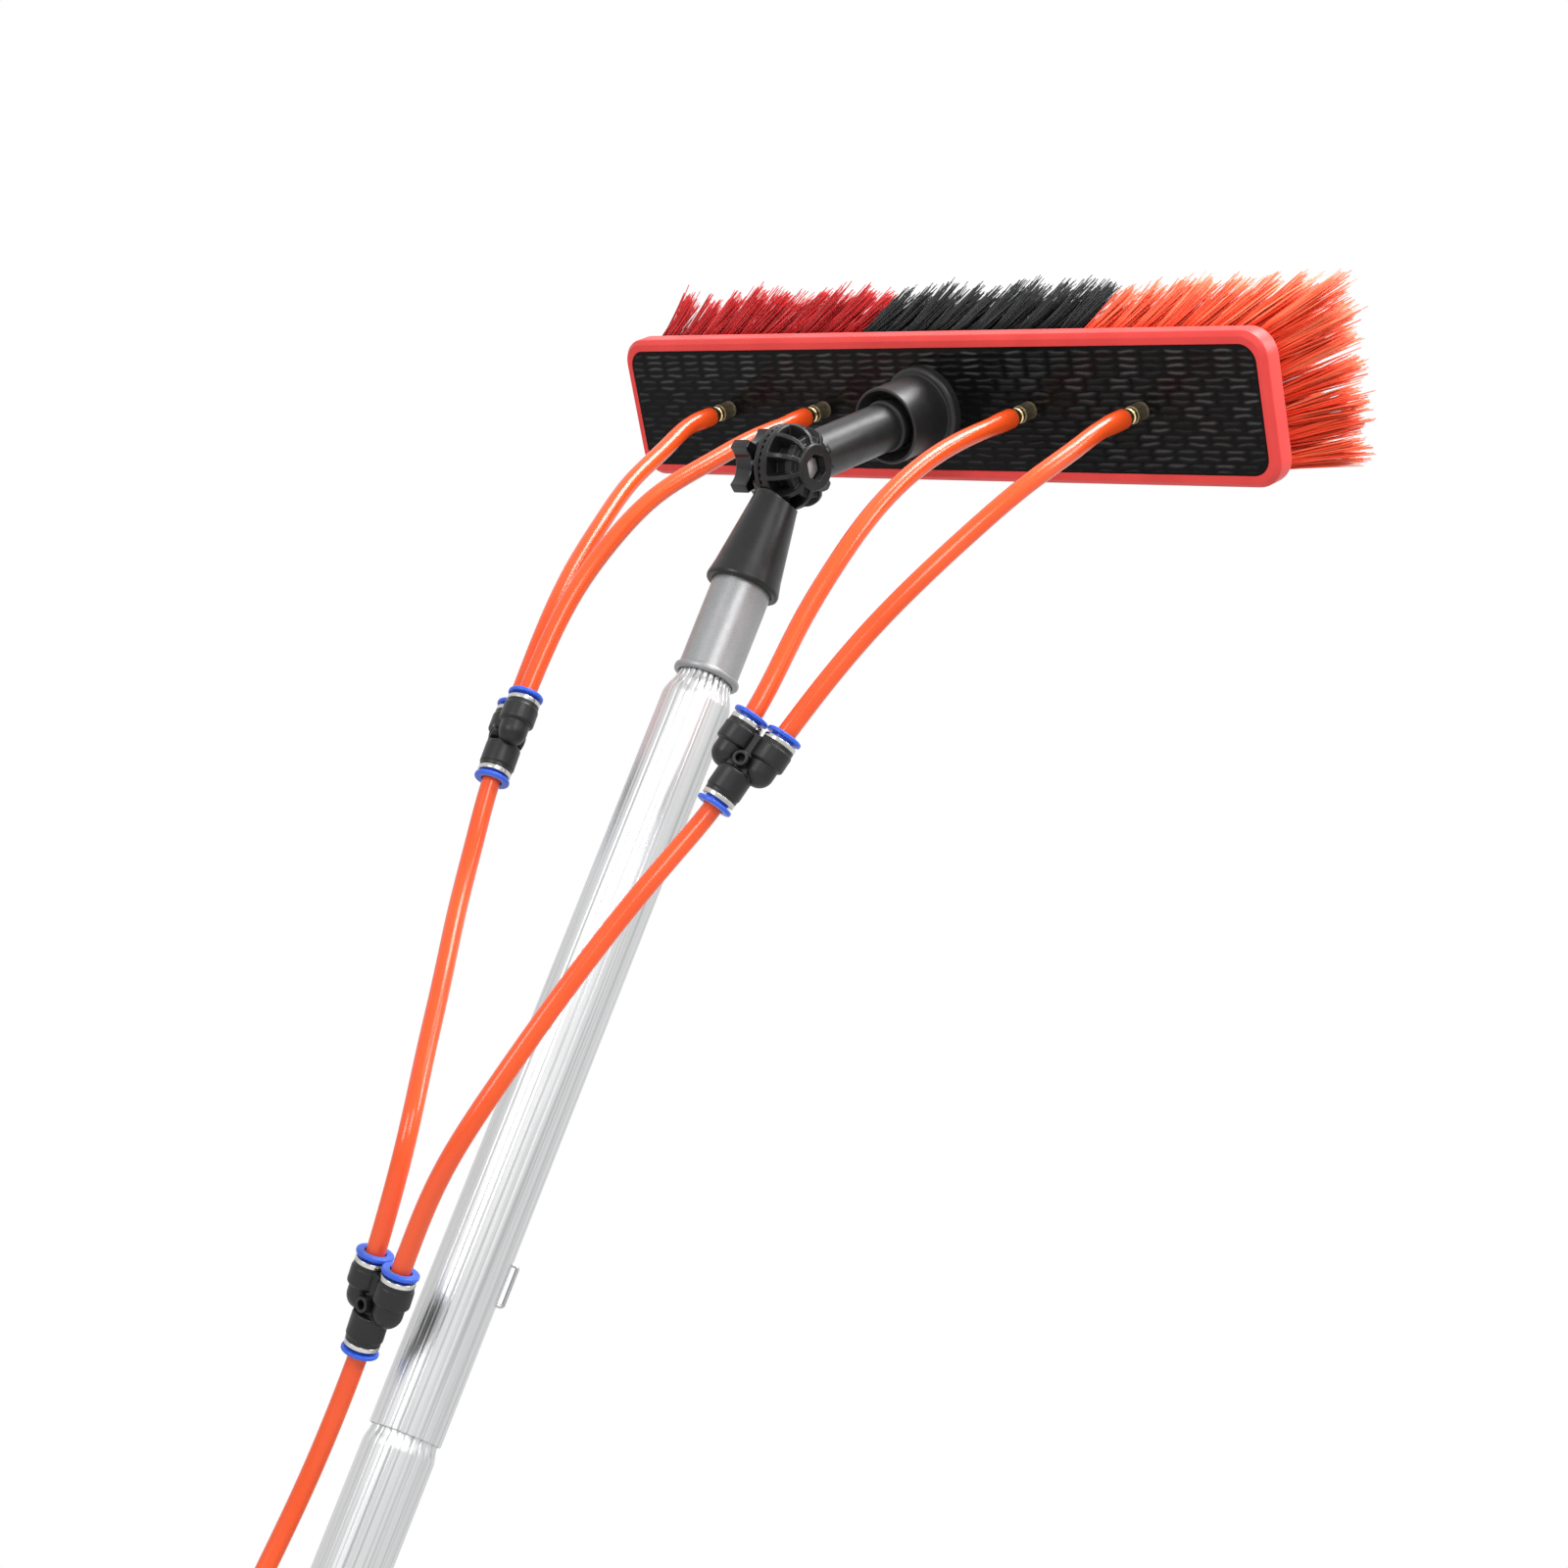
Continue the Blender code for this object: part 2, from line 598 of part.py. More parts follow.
def make_bolt_and_knob(pivot, head):
    """The hexagon bolt through both halves, and the washer, star knob and nut on its far end."""
    head_top = HUB_FACE - BOLT_RECESS
    nut_out = KNOB_LENGTH - NUT_SUNK
    shank_end = KNOB_X - nut_out
    bolt = hexagon_rod("pivot_bolt", BOLT_HEAD_AF, head_top - BOLT_HEAD, head_top)
    boolean(bolt, rod("shank", BOLT_D, shank_end, head_top - BOLT_HEAD / 2, SMALL_ROUND), "UNION")
    hand_over(bolt, "steel", head, along_x())

    washer_r = WASHER_OD / 2
    washer = turned("pivot_washer", [(washer_r, 0), (washer_r, -WASHER), (BOLT_BORE_R, -WASHER),
                                     (BOLT_BORE_R, 0)], SMALL_ROUND)
    hand_over(washer, "steel", pivot, Matrix.Translation((-FAR_HALF - GAP, 0, 0)) @ along_x())

    middle = (KNOB_R + KNOB_WAIST) / 2
    swing = (KNOB_R - KNOB_WAIST) / 2
    turns = [tau * step / (8 * KNOB_LOBES) for step in range(8 * KNOB_LOBES)]
    levels = ((0, KNOB_EDGE), (KNOB_EDGE, 0), (KNOB_LENGTH - KNOB_EDGE, 0), (KNOB_LENGTH, KNOB_EDGE))
    outlines = []
    for height, inset in levels:
        radii = [middle + swing * cos(KNOB_LOBES * (turn - KNOB_TURN)) - inset
                 for turn in turns]
        outlines.append([(radius * cos(turn), radius * sin(turn), height)
                         for radius, turn in zip(radii, turns)])
    knob = lofted("star_knob", outlines)
    boolean(knob, rod("drill", 2 * BOLT_BORE_R, -KNOB_LENGTH, 2 * KNOB_LENGTH, SMALL_ROUND))
    pocket = hexagon_rod("pocket", NUT_AF + 2 * HEX_FIT, nut_out - NUT - GAP, 2 * KNOB_LENGTH)
    boolean(knob, pocket)
    knob_place = Matrix.Translation((KNOB_X, 0, 0)) @ along_x(-1)
    hand_over(knob, "black_plastic", pivot, knob_place)

    nut = hexagon_rod("knob_nut", NUT_AF, nut_out - NUT, nut_out)
    boolean(nut, rod("drill", 2 * BOLT_BORE_R, 0, 2 * KNOB_LENGTH, SMALL_ROUND))
    hand_over(nut, "steel", pivot, knob_place)


# Brush head, in a frame whose X runs along the brush and whose Z points away from the bristles

def jet_places():
    """The jets' places along the brush, left to right."""
    return [side * JET_PITCH for side in (-2, -1, 1, 2)]


def drill_jets(obj, diameter):
    """Bore the four jet holes through a piece."""
    for place in jet_places():
        drill = rod("drill", diameter, -2 * BLOCK, BLOCK, SMALL_ROUND)
        boolean(obj, move(drill, Matrix.Translation((place, 0, 0))))


def tuft_field():
    """The bristle field: pitch along and across the brush, columns, and half its length and width."""
    pitch = JET_PITCH / TUFTS_PER_JET_PITCH
    room = BLOCK_OUT_X - BLOCK_BACK_CHAMFER - TUFT_END_RIM
    past_jets = int((room - 2 * JET_PITCH) / pitch - 0.5)
    columns = 2 * past_jets + 1 + 4 * TUFTS_PER_JET_PITCH
    half_y = BLOCK_OUT_Y - BLOCK_BACK_CHAMFER - TUFT_SIDE_RIM
    return pitch, 2 * half_y / TUFT_ROWS, columns, columns * pitch / 2, half_y


def make_block_and_plate(head_face):
    """The red block, the black plate let into it and the socket on the plate."""
    half_x = PLATE_LENGTH / 2
    half_y = PLATE_WIDTH / 2
    back = BLOCK_BACK_CHAMFER
    block = lofted("brush_block", [
        rounded_outline(BLOCK_RIM_X, BLOCK_RIM_Y, BLOCK_CORNER - BLOCK_CHAMFER, 0),
        rounded_outline(BLOCK_OUT_X, BLOCK_OUT_Y, BLOCK_CORNER, -BLOCK_CHAMFER),
        rounded_outline(BLOCK_OUT_X, BLOCK_OUT_Y, BLOCK_CORNER, back - BLOCK),
        rounded_outline(BLOCK_OUT_X - back, BLOCK_OUT_Y - back, BLOCK_CORNER - back, -BLOCK)])
    recess = lofted("recess", [rounded_outline(half_x + FIT, half_y + FIT, PLATE_CORNER + FIT, height)
                               for height in (-PLATE - GAP, BLOCK)])
    boolean(block, recess)
    field_x, field_y = (half + FIT for half in tuft_field()[3:])
    corners = ((-field_x, -field_y), (field_x, -field_y), (field_x, field_y), (-field_x, field_y))
    boolean(block, lofted("pocket", [[(x, y, height) for x, y in corners]
                                     for height in (-2 * BLOCK, TUFT_SLAB + GAP - BLOCK)]))
    drill_jets(block, JET_TAIL_OD + 2 * FIT)
    hand_over(block, "red_plastic", head_face)

    plate = lofted("back_plate", [rounded_outline(half_x, half_y, PLATE_CORNER, height)
                                  for height in (-PLATE, 0)])
    boolean(plate, rod("drill", SOCKET_SPIGOT_OD + 2 * FIT, -BLOCK, BLOCK))
    drill_jets(plate, JET_TAIL_OD + 2 * FIT)
    hand_over(plate, "black_plastic", head_face)

    bore_r = STEM_OD / 2 + FIT
    bore_floor = STEM_FLOOR - GAP
    socket_r = SOCKET_OD / 2
    flare_r = SOCKET_FLARE / 2
    spigot_r = SOCKET_SPIGOT_OD / 2
    spigot_end = GAP - PLATE
    socket = turned("handle_socket", [
        (0, bore_floor), (bore_r, bore_floor), (bore_r, SOCKET_RISE), (socket_r, SOCKET_RISE),
        (socket_r, SOCKET_FLARE_RISE), (flare_r, SOCKET_FLARE_RISE / 3), (flare_r, GAP),
        (spigot_r, GAP), (spigot_r, spigot_end), (0, spigot_end)])
    hand_over(socket, "black_plastic", head_face)


def make_jets(head_face):
    """Four brass jets: a hexagon, a barb ring for the hose and a tail through the brush."""
    ring_r = JET_RING_OD / 2
    tail_r = JET_TAIL_OD / 2
    for number, place in enumerate(jet_places(), 1):
        jet = turned(f"jet_{number}", [(0, JET_RISE), (ring_r, JET_RISE), (ring_r, JET_HEX / 2),
                                       (tail_r, JET_HEX / 2), (tail_r, -BLOCK), (0, -BLOCK)], SMALL_ROUND)
        boolean(jet, hexagon_rod("hexagon", JET_HEX_AF, GAP, JET_HEX), "UNION")
        boolean(jet, rod("drill", JET_BORE, -2 * BLOCK, 2 * JET_RISE, WATER_ROUND))
        hand_over(jet, "brass", head_face, Matrix.Translation((place, 0, 0)))


def flare(place, half, most, power=2):
    """How far a tip leans outwards, from nothing in the middle to the most at the edge."""
    share = place / half
    return most * share * abs(share) ** (power - 1)


def make_bristles(head_face):
    """Three fields of strands, each rooted in a slab that lies in the block's far side."""
    pitch, row_pitch, columns, half_x, half_y = tuft_field()
    tail_room = JET_TAIL_OD / 2 + FIT
    splits = [round((end + half_x) / pitch) for end in (TUFT_BLACK_LEFT, TUFT_BLACK_RIGHT)]
    for name, begin, end in zip(TUFT_NAMES, (0, *splits), (*splits, columns)):
        bm = bmesh.new()
        left = begin * pitch - half_x + FIT / 2
        right = end * pitch - half_x - FIT / 2
        lines = np.linspace(left, right, end - begin + 1)
        grid = [[bm.verts.new((line, row_pitch * row - half_y, -BLOCK)) for row in range(TUFT_ROWS + 1)]
                for line in lines]
        cells = []
        for column in range(end - begin):
            middle = (lines[column] + lines[column + 1]) / 2
            beside_jet = min(abs(middle - place) for place in jet_places()) < tail_room + pitch / 2
            for row in range(TUFT_ROWS):
                if beside_jet and abs(row_pitch * (row + 0.5) - half_y) < tail_room + row_pitch / 2:
                    continue
                cells.append(bm.faces.new((grid[column][row], grid[column + 1][row],
                                           grid[column + 1][row + 1], grid[column][row + 1])))
        slab = bmesh.ops.extrude_face_region(bm, geom=cells, use_keep_orig=True)["geom"]
        root_verts = [item for item in slab if isinstance(item, bmesh.types.BMVert)]
        root_edges = [item for item in slab if isinstance(item, bmesh.types.BMEdge)]
        bmesh.ops.translate(bm, verts=root_verts, vec=(0, 0, TUFT_SLAB))
        bmesh.ops.dissolve_limit(bm, angle_limit=radians(1), verts=root_verts, edges=root_edges)
        for tip in bmesh.ops.extrude_discrete_faces(bm, faces=cells)["faces"]:
            centre = tip.calc_center_median()
            lean = Vector((flare(centre.x, half_x, TUFT_END_FLARE),
                           flare(centre.y, half_y, TUFT_SIDE_FLARE, 1), -TUFT_TRIM))
            for vert in tip.verts:
                vert.co = centre + (vert.co - centre) * TUFT_TIP_SHARE + lean
        finish = "black_bristle" if "black" in name else "red_bristle"
        hand_over(mesh_from(name, bm), finish, head_face)


# Wye fittings

def make_wye_mesh():
    """One fitting: two arms above, one below, a pin boss between, bored for hoses and water."""
    arm_low = WYE_END - WYE_UPPER_BARREL
    elbow_z = arm_low - WYE_ELBOW_DROP
    edge = WYE_BARREL_WALL / 2
    floor_z = WYE_END - WYE_BORE_DEPTH
    low_top = WYE_LOWER_BARREL - WYE_END
    body = turned("wye", [(0, low_top), (BARREL_R - edge, low_top), (BARREL_R, low_top - edge),
                          (BARREL_R, -WYE_END), (0, -WYE_END)], SMALL_ROUND)
    for side in (-1, 1):
        arm = turned("arm", [(0, WYE_END), (BARREL_R, WYE_END), (BARREL_R, arm_low + edge),
                             (BARREL_R - edge, arm_low), (0, arm_low)], SMALL_ROUND)
        boolean(body, move(arm, Matrix.Translation((side * WYE_ARM_X, 0, 0))), "UNION")
        bm = bmesh.new()
        bmesh.ops.create_uvsphere(bm, u_segments=SMALL_ROUND, v_segments=SMALL_ROUND // 2,
                                  radius=WYE_ELBOW_R)
        elbow = mesh_from("elbow", bm)
        boolean(body, move(elbow, Matrix.Translation((side * WYE_ARM_X, 0, elbow_z))), "UNION")
        way = Vector((-side * WYE_ARM_X, 0, low_top - edge - elbow_z))
        lean = axes_matrix((side * WYE_ARM_X, 0, elbow_z), way, (0, 1, 0))
        boolean(body, move(rod("leg", WYE_LEG_OD, 0, way.length, SMALL_ROUND), lean), "UNION")
    half_boss = WYE_BOSS_LENGTH / 2
    half_facet = Matrix.Rotation(pi / SMALL_ROUND, 4, "Z")
    boss_turn = Matrix.Translation((0, 0, elbow_z)) @ Matrix.Rotation(pi / 2, 4, "X") @ half_facet
    boolean(body, move(rod("boss", WYE_BOSS_OD, -half_boss, half_boss, SMALL_ROUND), boss_turn), "UNION")
    pin_hole = rod("drill", WYE_BOSS_HOLE, -2 * half_boss, 2 * half_boss, WATER_ROUND)
    boolean(body, move(pin_hole, boss_turn))
    for side in (-1, 1):
        place = Matrix.Translation((side * WYE_ARM_X, 0, 0))
        boolean(body, move(rod("bore", 2 * PORT_BORE_R, floor_z, 2 * WYE_END, SMALL_ROUND), place))
        way = Vector((-side * WYE_ARM_X, 0, -floor_z - elbow_z))
        lean = axes_matrix((side * WYE_ARM_X, 0, elbow_z), way, (0, 1, 0))
        back = WYE_WATERWAY / 4
        boolean(body, move(rod("channel", WYE_WATERWAY, -back, way.length, WATER_ROUND), lean))
        boolean(body, move(rod("channel", WYE_WATERWAY, elbow_z - back, WYE_END, WATER_ROUND), place))
    boolean(body, rod("bore", 2 * PORT_BORE_R, -2 * WYE_END, -floor_z, SMALL_ROUND))
    mesh = body.data
    bpy.data.objects.remove(body)
    return mesh


def port_frames():
    """A fitting's three ports in its own frame: each with Z on the way the hose leaves."""
    return (Matrix.Translation((-WYE_ARM_X, 0, 0)), Matrix.Translation((WYE_ARM_X, 0, 0)),
            Matrix.Rotation(pi, 4, "X"))


def make_wyes():
    """The three fittings with their nickel rings and blue release collets; returns each port's matrix."""
    mesh = make_wye_mesh()
    ring_top = RING_Z + RING
    ring_profile = [(RING_R, ring_top), (RING_R, RING_Z), (PORT_BORE_R, RING_Z), (PORT_BORE_R, ring_top)]
    sleeve_end = PORT_FACE - COLLET_SLEEVE
    collet_profile = [(COLLET_R, PORT_FACE), (COLLET_R, COLLET_Z), (COLLET_SLEEVE_R, COLLET_Z),
                      (COLLET_SLEEVE_R, sleeve_end), (COLLET_BORE_R, sleeve_end), (COLLET_BORE_R, PORT_FACE)]
    ports = {}
    for side, (middle, up, across) in WYES.items():
        place = axes_matrix(Vector(middle) + Vector((0, 0, PIVOT_Z)), up, across)
        frame = add_frame(f"wye_{side}_frame", place)
        hand_over(add_object(f"wye_{side}_body", mesh), "black_plastic", frame, Matrix.Identity(4))
        for number, port in enumerate(port_frames(), 1):
            ring = turned(f"wye_{side}_ring_{number}", ring_profile, SMALL_ROUND)
            hand_over(ring, "nickel", frame, port)
            collet = turned(f"wye_{side}_collet_{number}", collet_profile, SMALL_ROUND)
            hand_over(collet, "blue_plastic", frame, port)
            ports[side, number] = place @ port
    return ports


# Hoses

def raised(route):
    """A route's points, measured from the ground and not from the pivot."""
    return [Vector(point) + Vector((0, 0, PIVOT_Z)) for point in route]


def port_end(port):
    """Where a hose ends inside a port, and the way that it leaves the port."""
    way = port.to_3x3() @ Vector((0, 0, 1))
    return port.translation + way * (PORT_FACE - HOSE_IN_PORT), way


def make_hoses(head_face_matrix, ports):
    """The jets' four hoses, the two branch hoses and the supply hose down to its coil."""
    in_port = HOSE_IN_PORT + HOSE_STRAIGHT
    out_of_jet = head_face_matrix.to_3x3() @ Vector((0, 0, 1))
    jet_ports = (("left", 1), ("left", 2), ("right", 1), ("right", 2))
    for number, (place, route, port) in enumerate(zip(jet_places(), JET_ROUTES, jet_ports), 1):
        start = head_face_matrix @ Vector((place, 0, JET_RISE + GAP))
        end, way = port_end(ports[port])
        path = hose_path(start, out_of_jet, raised(route), end, -way, JET_STRAIGHT, in_port,
                         (0, HOSE_LEAN))
        hand_over(tube(f"jet_hose_{number}", path, HOSE_OD, 2), "orange_hose")
    for side, route, number in (("left", LEFT_BRANCH_ROUTE, 1), ("right", RIGHT_BRANCH_ROUTE, 2)):
        start, leave = port_end(ports[side, 3])
        end, way = port_end(ports["lower", number])
        path = hose_path(start, leave, raised(route), end, -way, in_port, in_port,
                         (HOSE_LEAN, HOSE_LEAN))
        hand_over(tube(f"branch_hose_{side}", path, HOSE_OD, 2), "orange_hose")
    start, leave = port_end(ports["lower", 3])
    end = Vector(coil_points()[0]) + Vector((GAP, 0, 0))
    path = hose_path(start, leave, raised(SUPPLY_ROUTE), end, (-1, 0, 0), in_port, HOSE_STRAIGHT,
                     (HOSE_LEAN, 0))
    hand_over(tube("supply_hose", path, HOSE_OD, 2), "orange_hose")


def coil_points():
    """The coil's turns: in on the upper layer, down in half a turn, out on the lower layer."""
    centre = Vector((*COIL_CENTRE, 0))
    half = COIL_TURNS / 2
    points = []
    for step in range(COIL_TURNS * COIL_POINTS + 1):
        done = step / COIL_POINTS - half
        radius = COIL_INNER_R + COIL_PITCH * abs(done)
        drop = min(max(done + 0.25, 0) / 0.5, 1)
        height = COIL_HIGH_Z - COIL_PITCH * drop * drop * (3 - 2 * drop)
        turn = -pi / 2 - tau * done
        points.append(centre + Vector((radius * cos(turn), radius * sin(turn), height)))
    lead = Vector((COIL_LEAD, 0, 0))
    return [tuple(points[0] + lead), *map(tuple, points), tuple(points[-1] - lead)]


def print_least_gap(points):
    """Print the coil's least gap to itself, measured between points over half a turn apart."""
    places = np.array(points)
    least = min(np.linalg.norm(places[index + COIL_POINTS // 2:] - place, axis=1).min()
                for index, place in enumerate(places[:-COIL_POINTS]))
    print(f"hose_coil least gap to itself: {(least - HOSE_OD) * 1000:.2f} mm")


def make_coil():
    """The spare supply hose, its tie and the connector on its end."""
    points = coil_points()
    print_least_gap(points)
    hand_over(tube("hose_coil", points, HOSE_OD, 1), "orange_hose")

    half_width = TIE_WIDTH / 2
    turn_in = half_width * tan(pi / COIL_POINTS)
    inner = COIL_INNER_R + COIL_PITCH / 2 - HOSE_R - GAP - turn_in
    outer = COIL_INNER_R + COIL_PITCH * (COIL_TURNS / 2 - 0.5) + HOSE_R + GAP
    low = COIL_LOW_Z - HOSE_R - GAP
    high = COIL_HIGH_Z + HOSE_R + GAP
    middle_r, middle_z = (inner + outer) / 2, (low + high) / 2
    half_r, half_z = (outer - inner) / 2, (high - low) / 2
    tie = lofted("coil_tie", [rounded_outline(half_r + TIE, half_z + TIE, HOSE_R + TIE, height)
                              for height in (-half_width, half_width)])
    boolean(tie, lofted("opening", [rounded_outline(half_r, half_z, HOSE_R, height)
                                    for height in (-TIE_WIDTH, TIE_WIDTH)]))
    place = axes_matrix((COIL_CENTRE[0], COIL_CENTRE[1] + middle_r, middle_z), (1, 0, 0), (0, 1, 0))
    hand_over(tie, "black_plastic", matrix=place)

    sleeve_r = CONNECTOR_SLEEVE_OD / 2
    plug_r = CONNECTOR_PLUG_OD / 2
    hex_low = CONNECTOR_SLEEVE
    plug_low = hex_low + CONNECTOR_HEX
    end = plug_low + CONNECTOR_PLUG
    groove = CONNECTOR_PLUG / 6
    connector = turned("inlet_connector", [
        (0, end), (plug_r - groove / 3, end), (plug_r, end - groove / 3), (plug_r, end - groove),
        (plug_r - groove / 3, end - 4 * groove / 3), (plug_r - groove / 3, end - 2 * groove),
        (plug_r, end - 7 * groove / 3), (plug_r, plug_low - groove), (sleeve_r, plug_low - groove),
        (sleeve_r, 0), (0, 0)], SMALL_ROUND)
    boolean(connector, hexagon_rod("hexagon", CONNECTOR_HEX_AF, hex_low, plug_low), "UNION")
    boolean(connector, rod("drill", CONNECTOR_BORE, hex_low, 2 * end, SMALL_ROUND))
    tip = Vector(points[-1]) - Vector((GAP, 0, 0))
    hand_over(connector, "brass", matrix=Matrix.Translation(tip) @ along_x(-1))


def main():
    clear_scene()
    pivot = add_frame("pivot_frame", Matrix.Translation((0, 0, PIVOT_Z)))
    head_matrix = Matrix.Translation((0, 0, PIVOT_Z)) @ Matrix.Rotation(pi - TILT, 4, "X")
    head = add_frame("head_frame", head_matrix)
    face_matrix = head_matrix @ Matrix.Translation((0, 0, -PLATE_STANDOFF))
    head_face = add_frame("brush_frame", face_matrix)
    make_pole()
    make_clip()
    make_collar()
    make_lower_arm(pivot)
    make_upper_arm(head)
    make_bolt_and_knob(pivot, head)
    make_block_and_plate(head_face)
    make_jets(head_face)
    make_bristles(head_face)
    ports = make_wyes()
    make_hoses(face_matrix, ports)
    make_coil()


main()
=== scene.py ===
"""Looks of a window cleaning pole system: moulded pieces, fluted poles, hoses at full length and tufts.

Metres, +Z up along the pole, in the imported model's own frame.
"""

import json
from math import cos, exp, pi, radians, sin, sqrt, tan, tau

import bmesh
import bpy
import numpy as np
from mathutils import Matrix, Vector


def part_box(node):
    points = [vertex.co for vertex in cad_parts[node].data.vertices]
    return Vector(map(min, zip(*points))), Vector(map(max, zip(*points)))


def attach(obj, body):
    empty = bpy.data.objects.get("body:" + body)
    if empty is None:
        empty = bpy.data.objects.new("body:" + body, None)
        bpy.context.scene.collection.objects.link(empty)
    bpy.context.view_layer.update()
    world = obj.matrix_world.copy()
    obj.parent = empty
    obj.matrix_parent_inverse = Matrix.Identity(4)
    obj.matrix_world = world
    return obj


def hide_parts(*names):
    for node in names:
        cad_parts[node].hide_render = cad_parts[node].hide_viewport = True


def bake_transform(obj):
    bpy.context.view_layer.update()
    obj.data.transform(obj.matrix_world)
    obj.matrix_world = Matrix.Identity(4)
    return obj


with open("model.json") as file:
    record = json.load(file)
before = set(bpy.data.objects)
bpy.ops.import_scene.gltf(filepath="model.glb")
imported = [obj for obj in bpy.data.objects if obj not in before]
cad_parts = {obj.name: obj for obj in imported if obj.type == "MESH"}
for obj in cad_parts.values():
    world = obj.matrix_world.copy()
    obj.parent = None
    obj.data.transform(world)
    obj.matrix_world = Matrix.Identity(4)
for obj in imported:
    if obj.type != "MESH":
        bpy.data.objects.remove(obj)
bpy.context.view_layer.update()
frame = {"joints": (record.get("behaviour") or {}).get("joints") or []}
at = Matrix.Translation

# Camera, fitted to the photograph
CAMERA_PLACE = (0.90571, -0.87396, 0.27526)
CAMERA_RIGHT = (0.7404, 0.57601, 0.34644)
CAMERA_UP = (-0.0831, -0.43301, 0.89755)
CAMERA_LENS = 71.68
CAMERA_SENSOR = 36.0
CAMERA_CLIP = (0.05, 50)

# Lamps: place from the pivot as right, up and back in the camera's view, then size and power
LAMPS = {
    "key": ((-0.80, 0.62, 0.95), 0.5, 5.5),
    "front": ((0.50, 0.85, 1.30), 0.6, 9.0),
    "side": ((1.35, 0.72, 0.13), 0.6, 13.0),
    "top": ((0.66, 1.23, -0.08), 0.6, 21.0),
}
WORLD_LIGHT = 0.36
FLOOR_GLOW = 0.36
FLOOR_R = 4.0
FLOOR_Z = -0.0003

# Frames of the tilting head: Z of the face frame points from the brush to the pole's side
TILT = radians(44)
PLATE_STANDOFF = 0.0935
PIVOT = Vector(next(joint for joint in frame["joints"] if joint["name"] == "head_tilt")["pos_m"])
HEAD = at(PIVOT) @ Matrix.Rotation(pi - TILT, 4, "X")
FACE = HEAD @ at((0, 0, -PLATE_STANDOFF))
UPSIDE_DOWN = Matrix.Rotation(pi, 4, "X")
GAP = 0.0003
SHARP_EDGE = radians(38)
ON_AXIS = 1e-6

# Pole
POLE_R = 0.015
POLE_WALL = 0.001
POLE_EDGE = 0.0003
POLE_SHOULDER = 0.002
POLE_STEPS = 12
FLUTES = 26
FLUTE_POINTS = 12
FLUTE_FLAT = 0.00007
FLUTE_DEPTH = 0.00020
GROOVE_SHARE = 0.12
UPPER_NECK_R = 0.0118
# A section's foot, top of its body, foot and radius of its neck, top, and depth of its pleats
SECTIONS = {
    "lower_pole": (0.0033, 0.3233, 0.3283, 0.0137, 0.3986, 0.0004),
    "upper_pole": (0.3286, 0.6521, 0.6616, UPPER_NECK_R, 0.7119, 0.0009),
}
CAP_FLOOR = 0.003
CAP_RIBS = 40
CAP_RIB = 0.0004
CLIP_WIRE = 0.0016
CLIP_SPAN = 0.017
CLIP_PROUD = 0.0023
CLIP_LEG = 0.0042
CLIP_BEND = 0.0012
CLIP_BEND_STEPS = 8
CLIP_Z = 0.4051
CLIP_SIDE = radians(43.9)

# Collar and tilting joint
FLANGE_Z = 0.6619
COLLAR_R = 0.013
COLLAR_FLANGE_R = 0.0144
COLLAR_FLANGE = 0.003
COLLAR_TOP_R = 0.009
ARM_Z = 0.7055
ARM_LIP = 0.0076
ARM_LIP_R = 0.0162
ARM_TOP_R = 0.01025
DOME_R = 0.0186
DOME_CLEAR = 0.0006
JOINT_FACE = 0.0003
JOINT_REACH = 0.03
JOINT_VOXEL = 0.00027
NEAR_RIM = 0.0027
FAR_RIM = 0.0042
CORE_R = 0.0112
HUB_R = 0.0103
HUB_FACE = 0.0156
FAR_HALF = 0.0105
FIN_COUNT = 11
FIN = 0.0021
FIN_ROOT = 0.008
RECESS_AF = 0.0106
RECESS_FLOOR = 0.0074
TEETH = 38
TOOTH = 0.0016
STEM_R = 0.011
STEM_END = 0.088
BOLT_AF = 0.010
BOLT_R = 0.003
BOLT_SUNK = 0.0039
BOLT_HOLE_R = 0.0033
NUT = 0.005
WASHER_R = 0.007
WASHER = 0.0012
KNOB_X = -0.0123
KNOB_R = 0.0165
KNOB_LENGTH = 0.0098
KNOB_EDGE = 0.0009
KNOB_WELL = 0.0054
KNOB_LOBES = 5
KNOB_STEPS = 240
KNOB_TURN = radians(-12)
SCALLOP_R = 0.0098
SCALLOP_CENTRE = 0.0205
SCALLOP_BLEND = 0.0006

# Brush head
PLATE_HALF = (0.1805, 0.028)
PLATE_CORNER = 0.008
PLATE = 0.002
PLATE_SUNK = 0.00035
PLATE_MARGIN = (0.0006, 0.0022)
PLATE_GRID = (360, 144)
BLOCK_HALF = (0.1854, 0.0336)
BLOCK_CORNER = 0.012
BLOCK_CHAMFER = 0.0022
BLOCK = 0.0125
BRICK_LENGTH = 0.0122
BRICK_ROW = 0.0031
BRICK_RISE = 0.00028
# Bricks are counted from far outside the plate, so that no count falls below 0
BRICK_ROW_FROM = 40.5
BRICK_FROM = 40.0
BRICK_WAVER = 0.12
BRICK_SHIFT_Y = 0.014
SOCKET_R = 0.0175
SOCKET_FLARE_R = 0.0206
SOCKET_RISE = 0.0285
SOCKET_BORE_R = 0.0115
SOCKET_FLOOR = 0.003
JET_PLACES = [side * 0.060 for side in (-2, -1, 1, 2)]
JET_BODY_R = 0.004
JET_BODY = 0.0078
JET_TAIL_R = 0.003
JET_TAIL = 0.0131
JET_RING_R = 0.0036
JET_GROOVE_R = 0.0031
JET_RISE = 0.0132
KNURLS = 34
KNURL = 0.00022

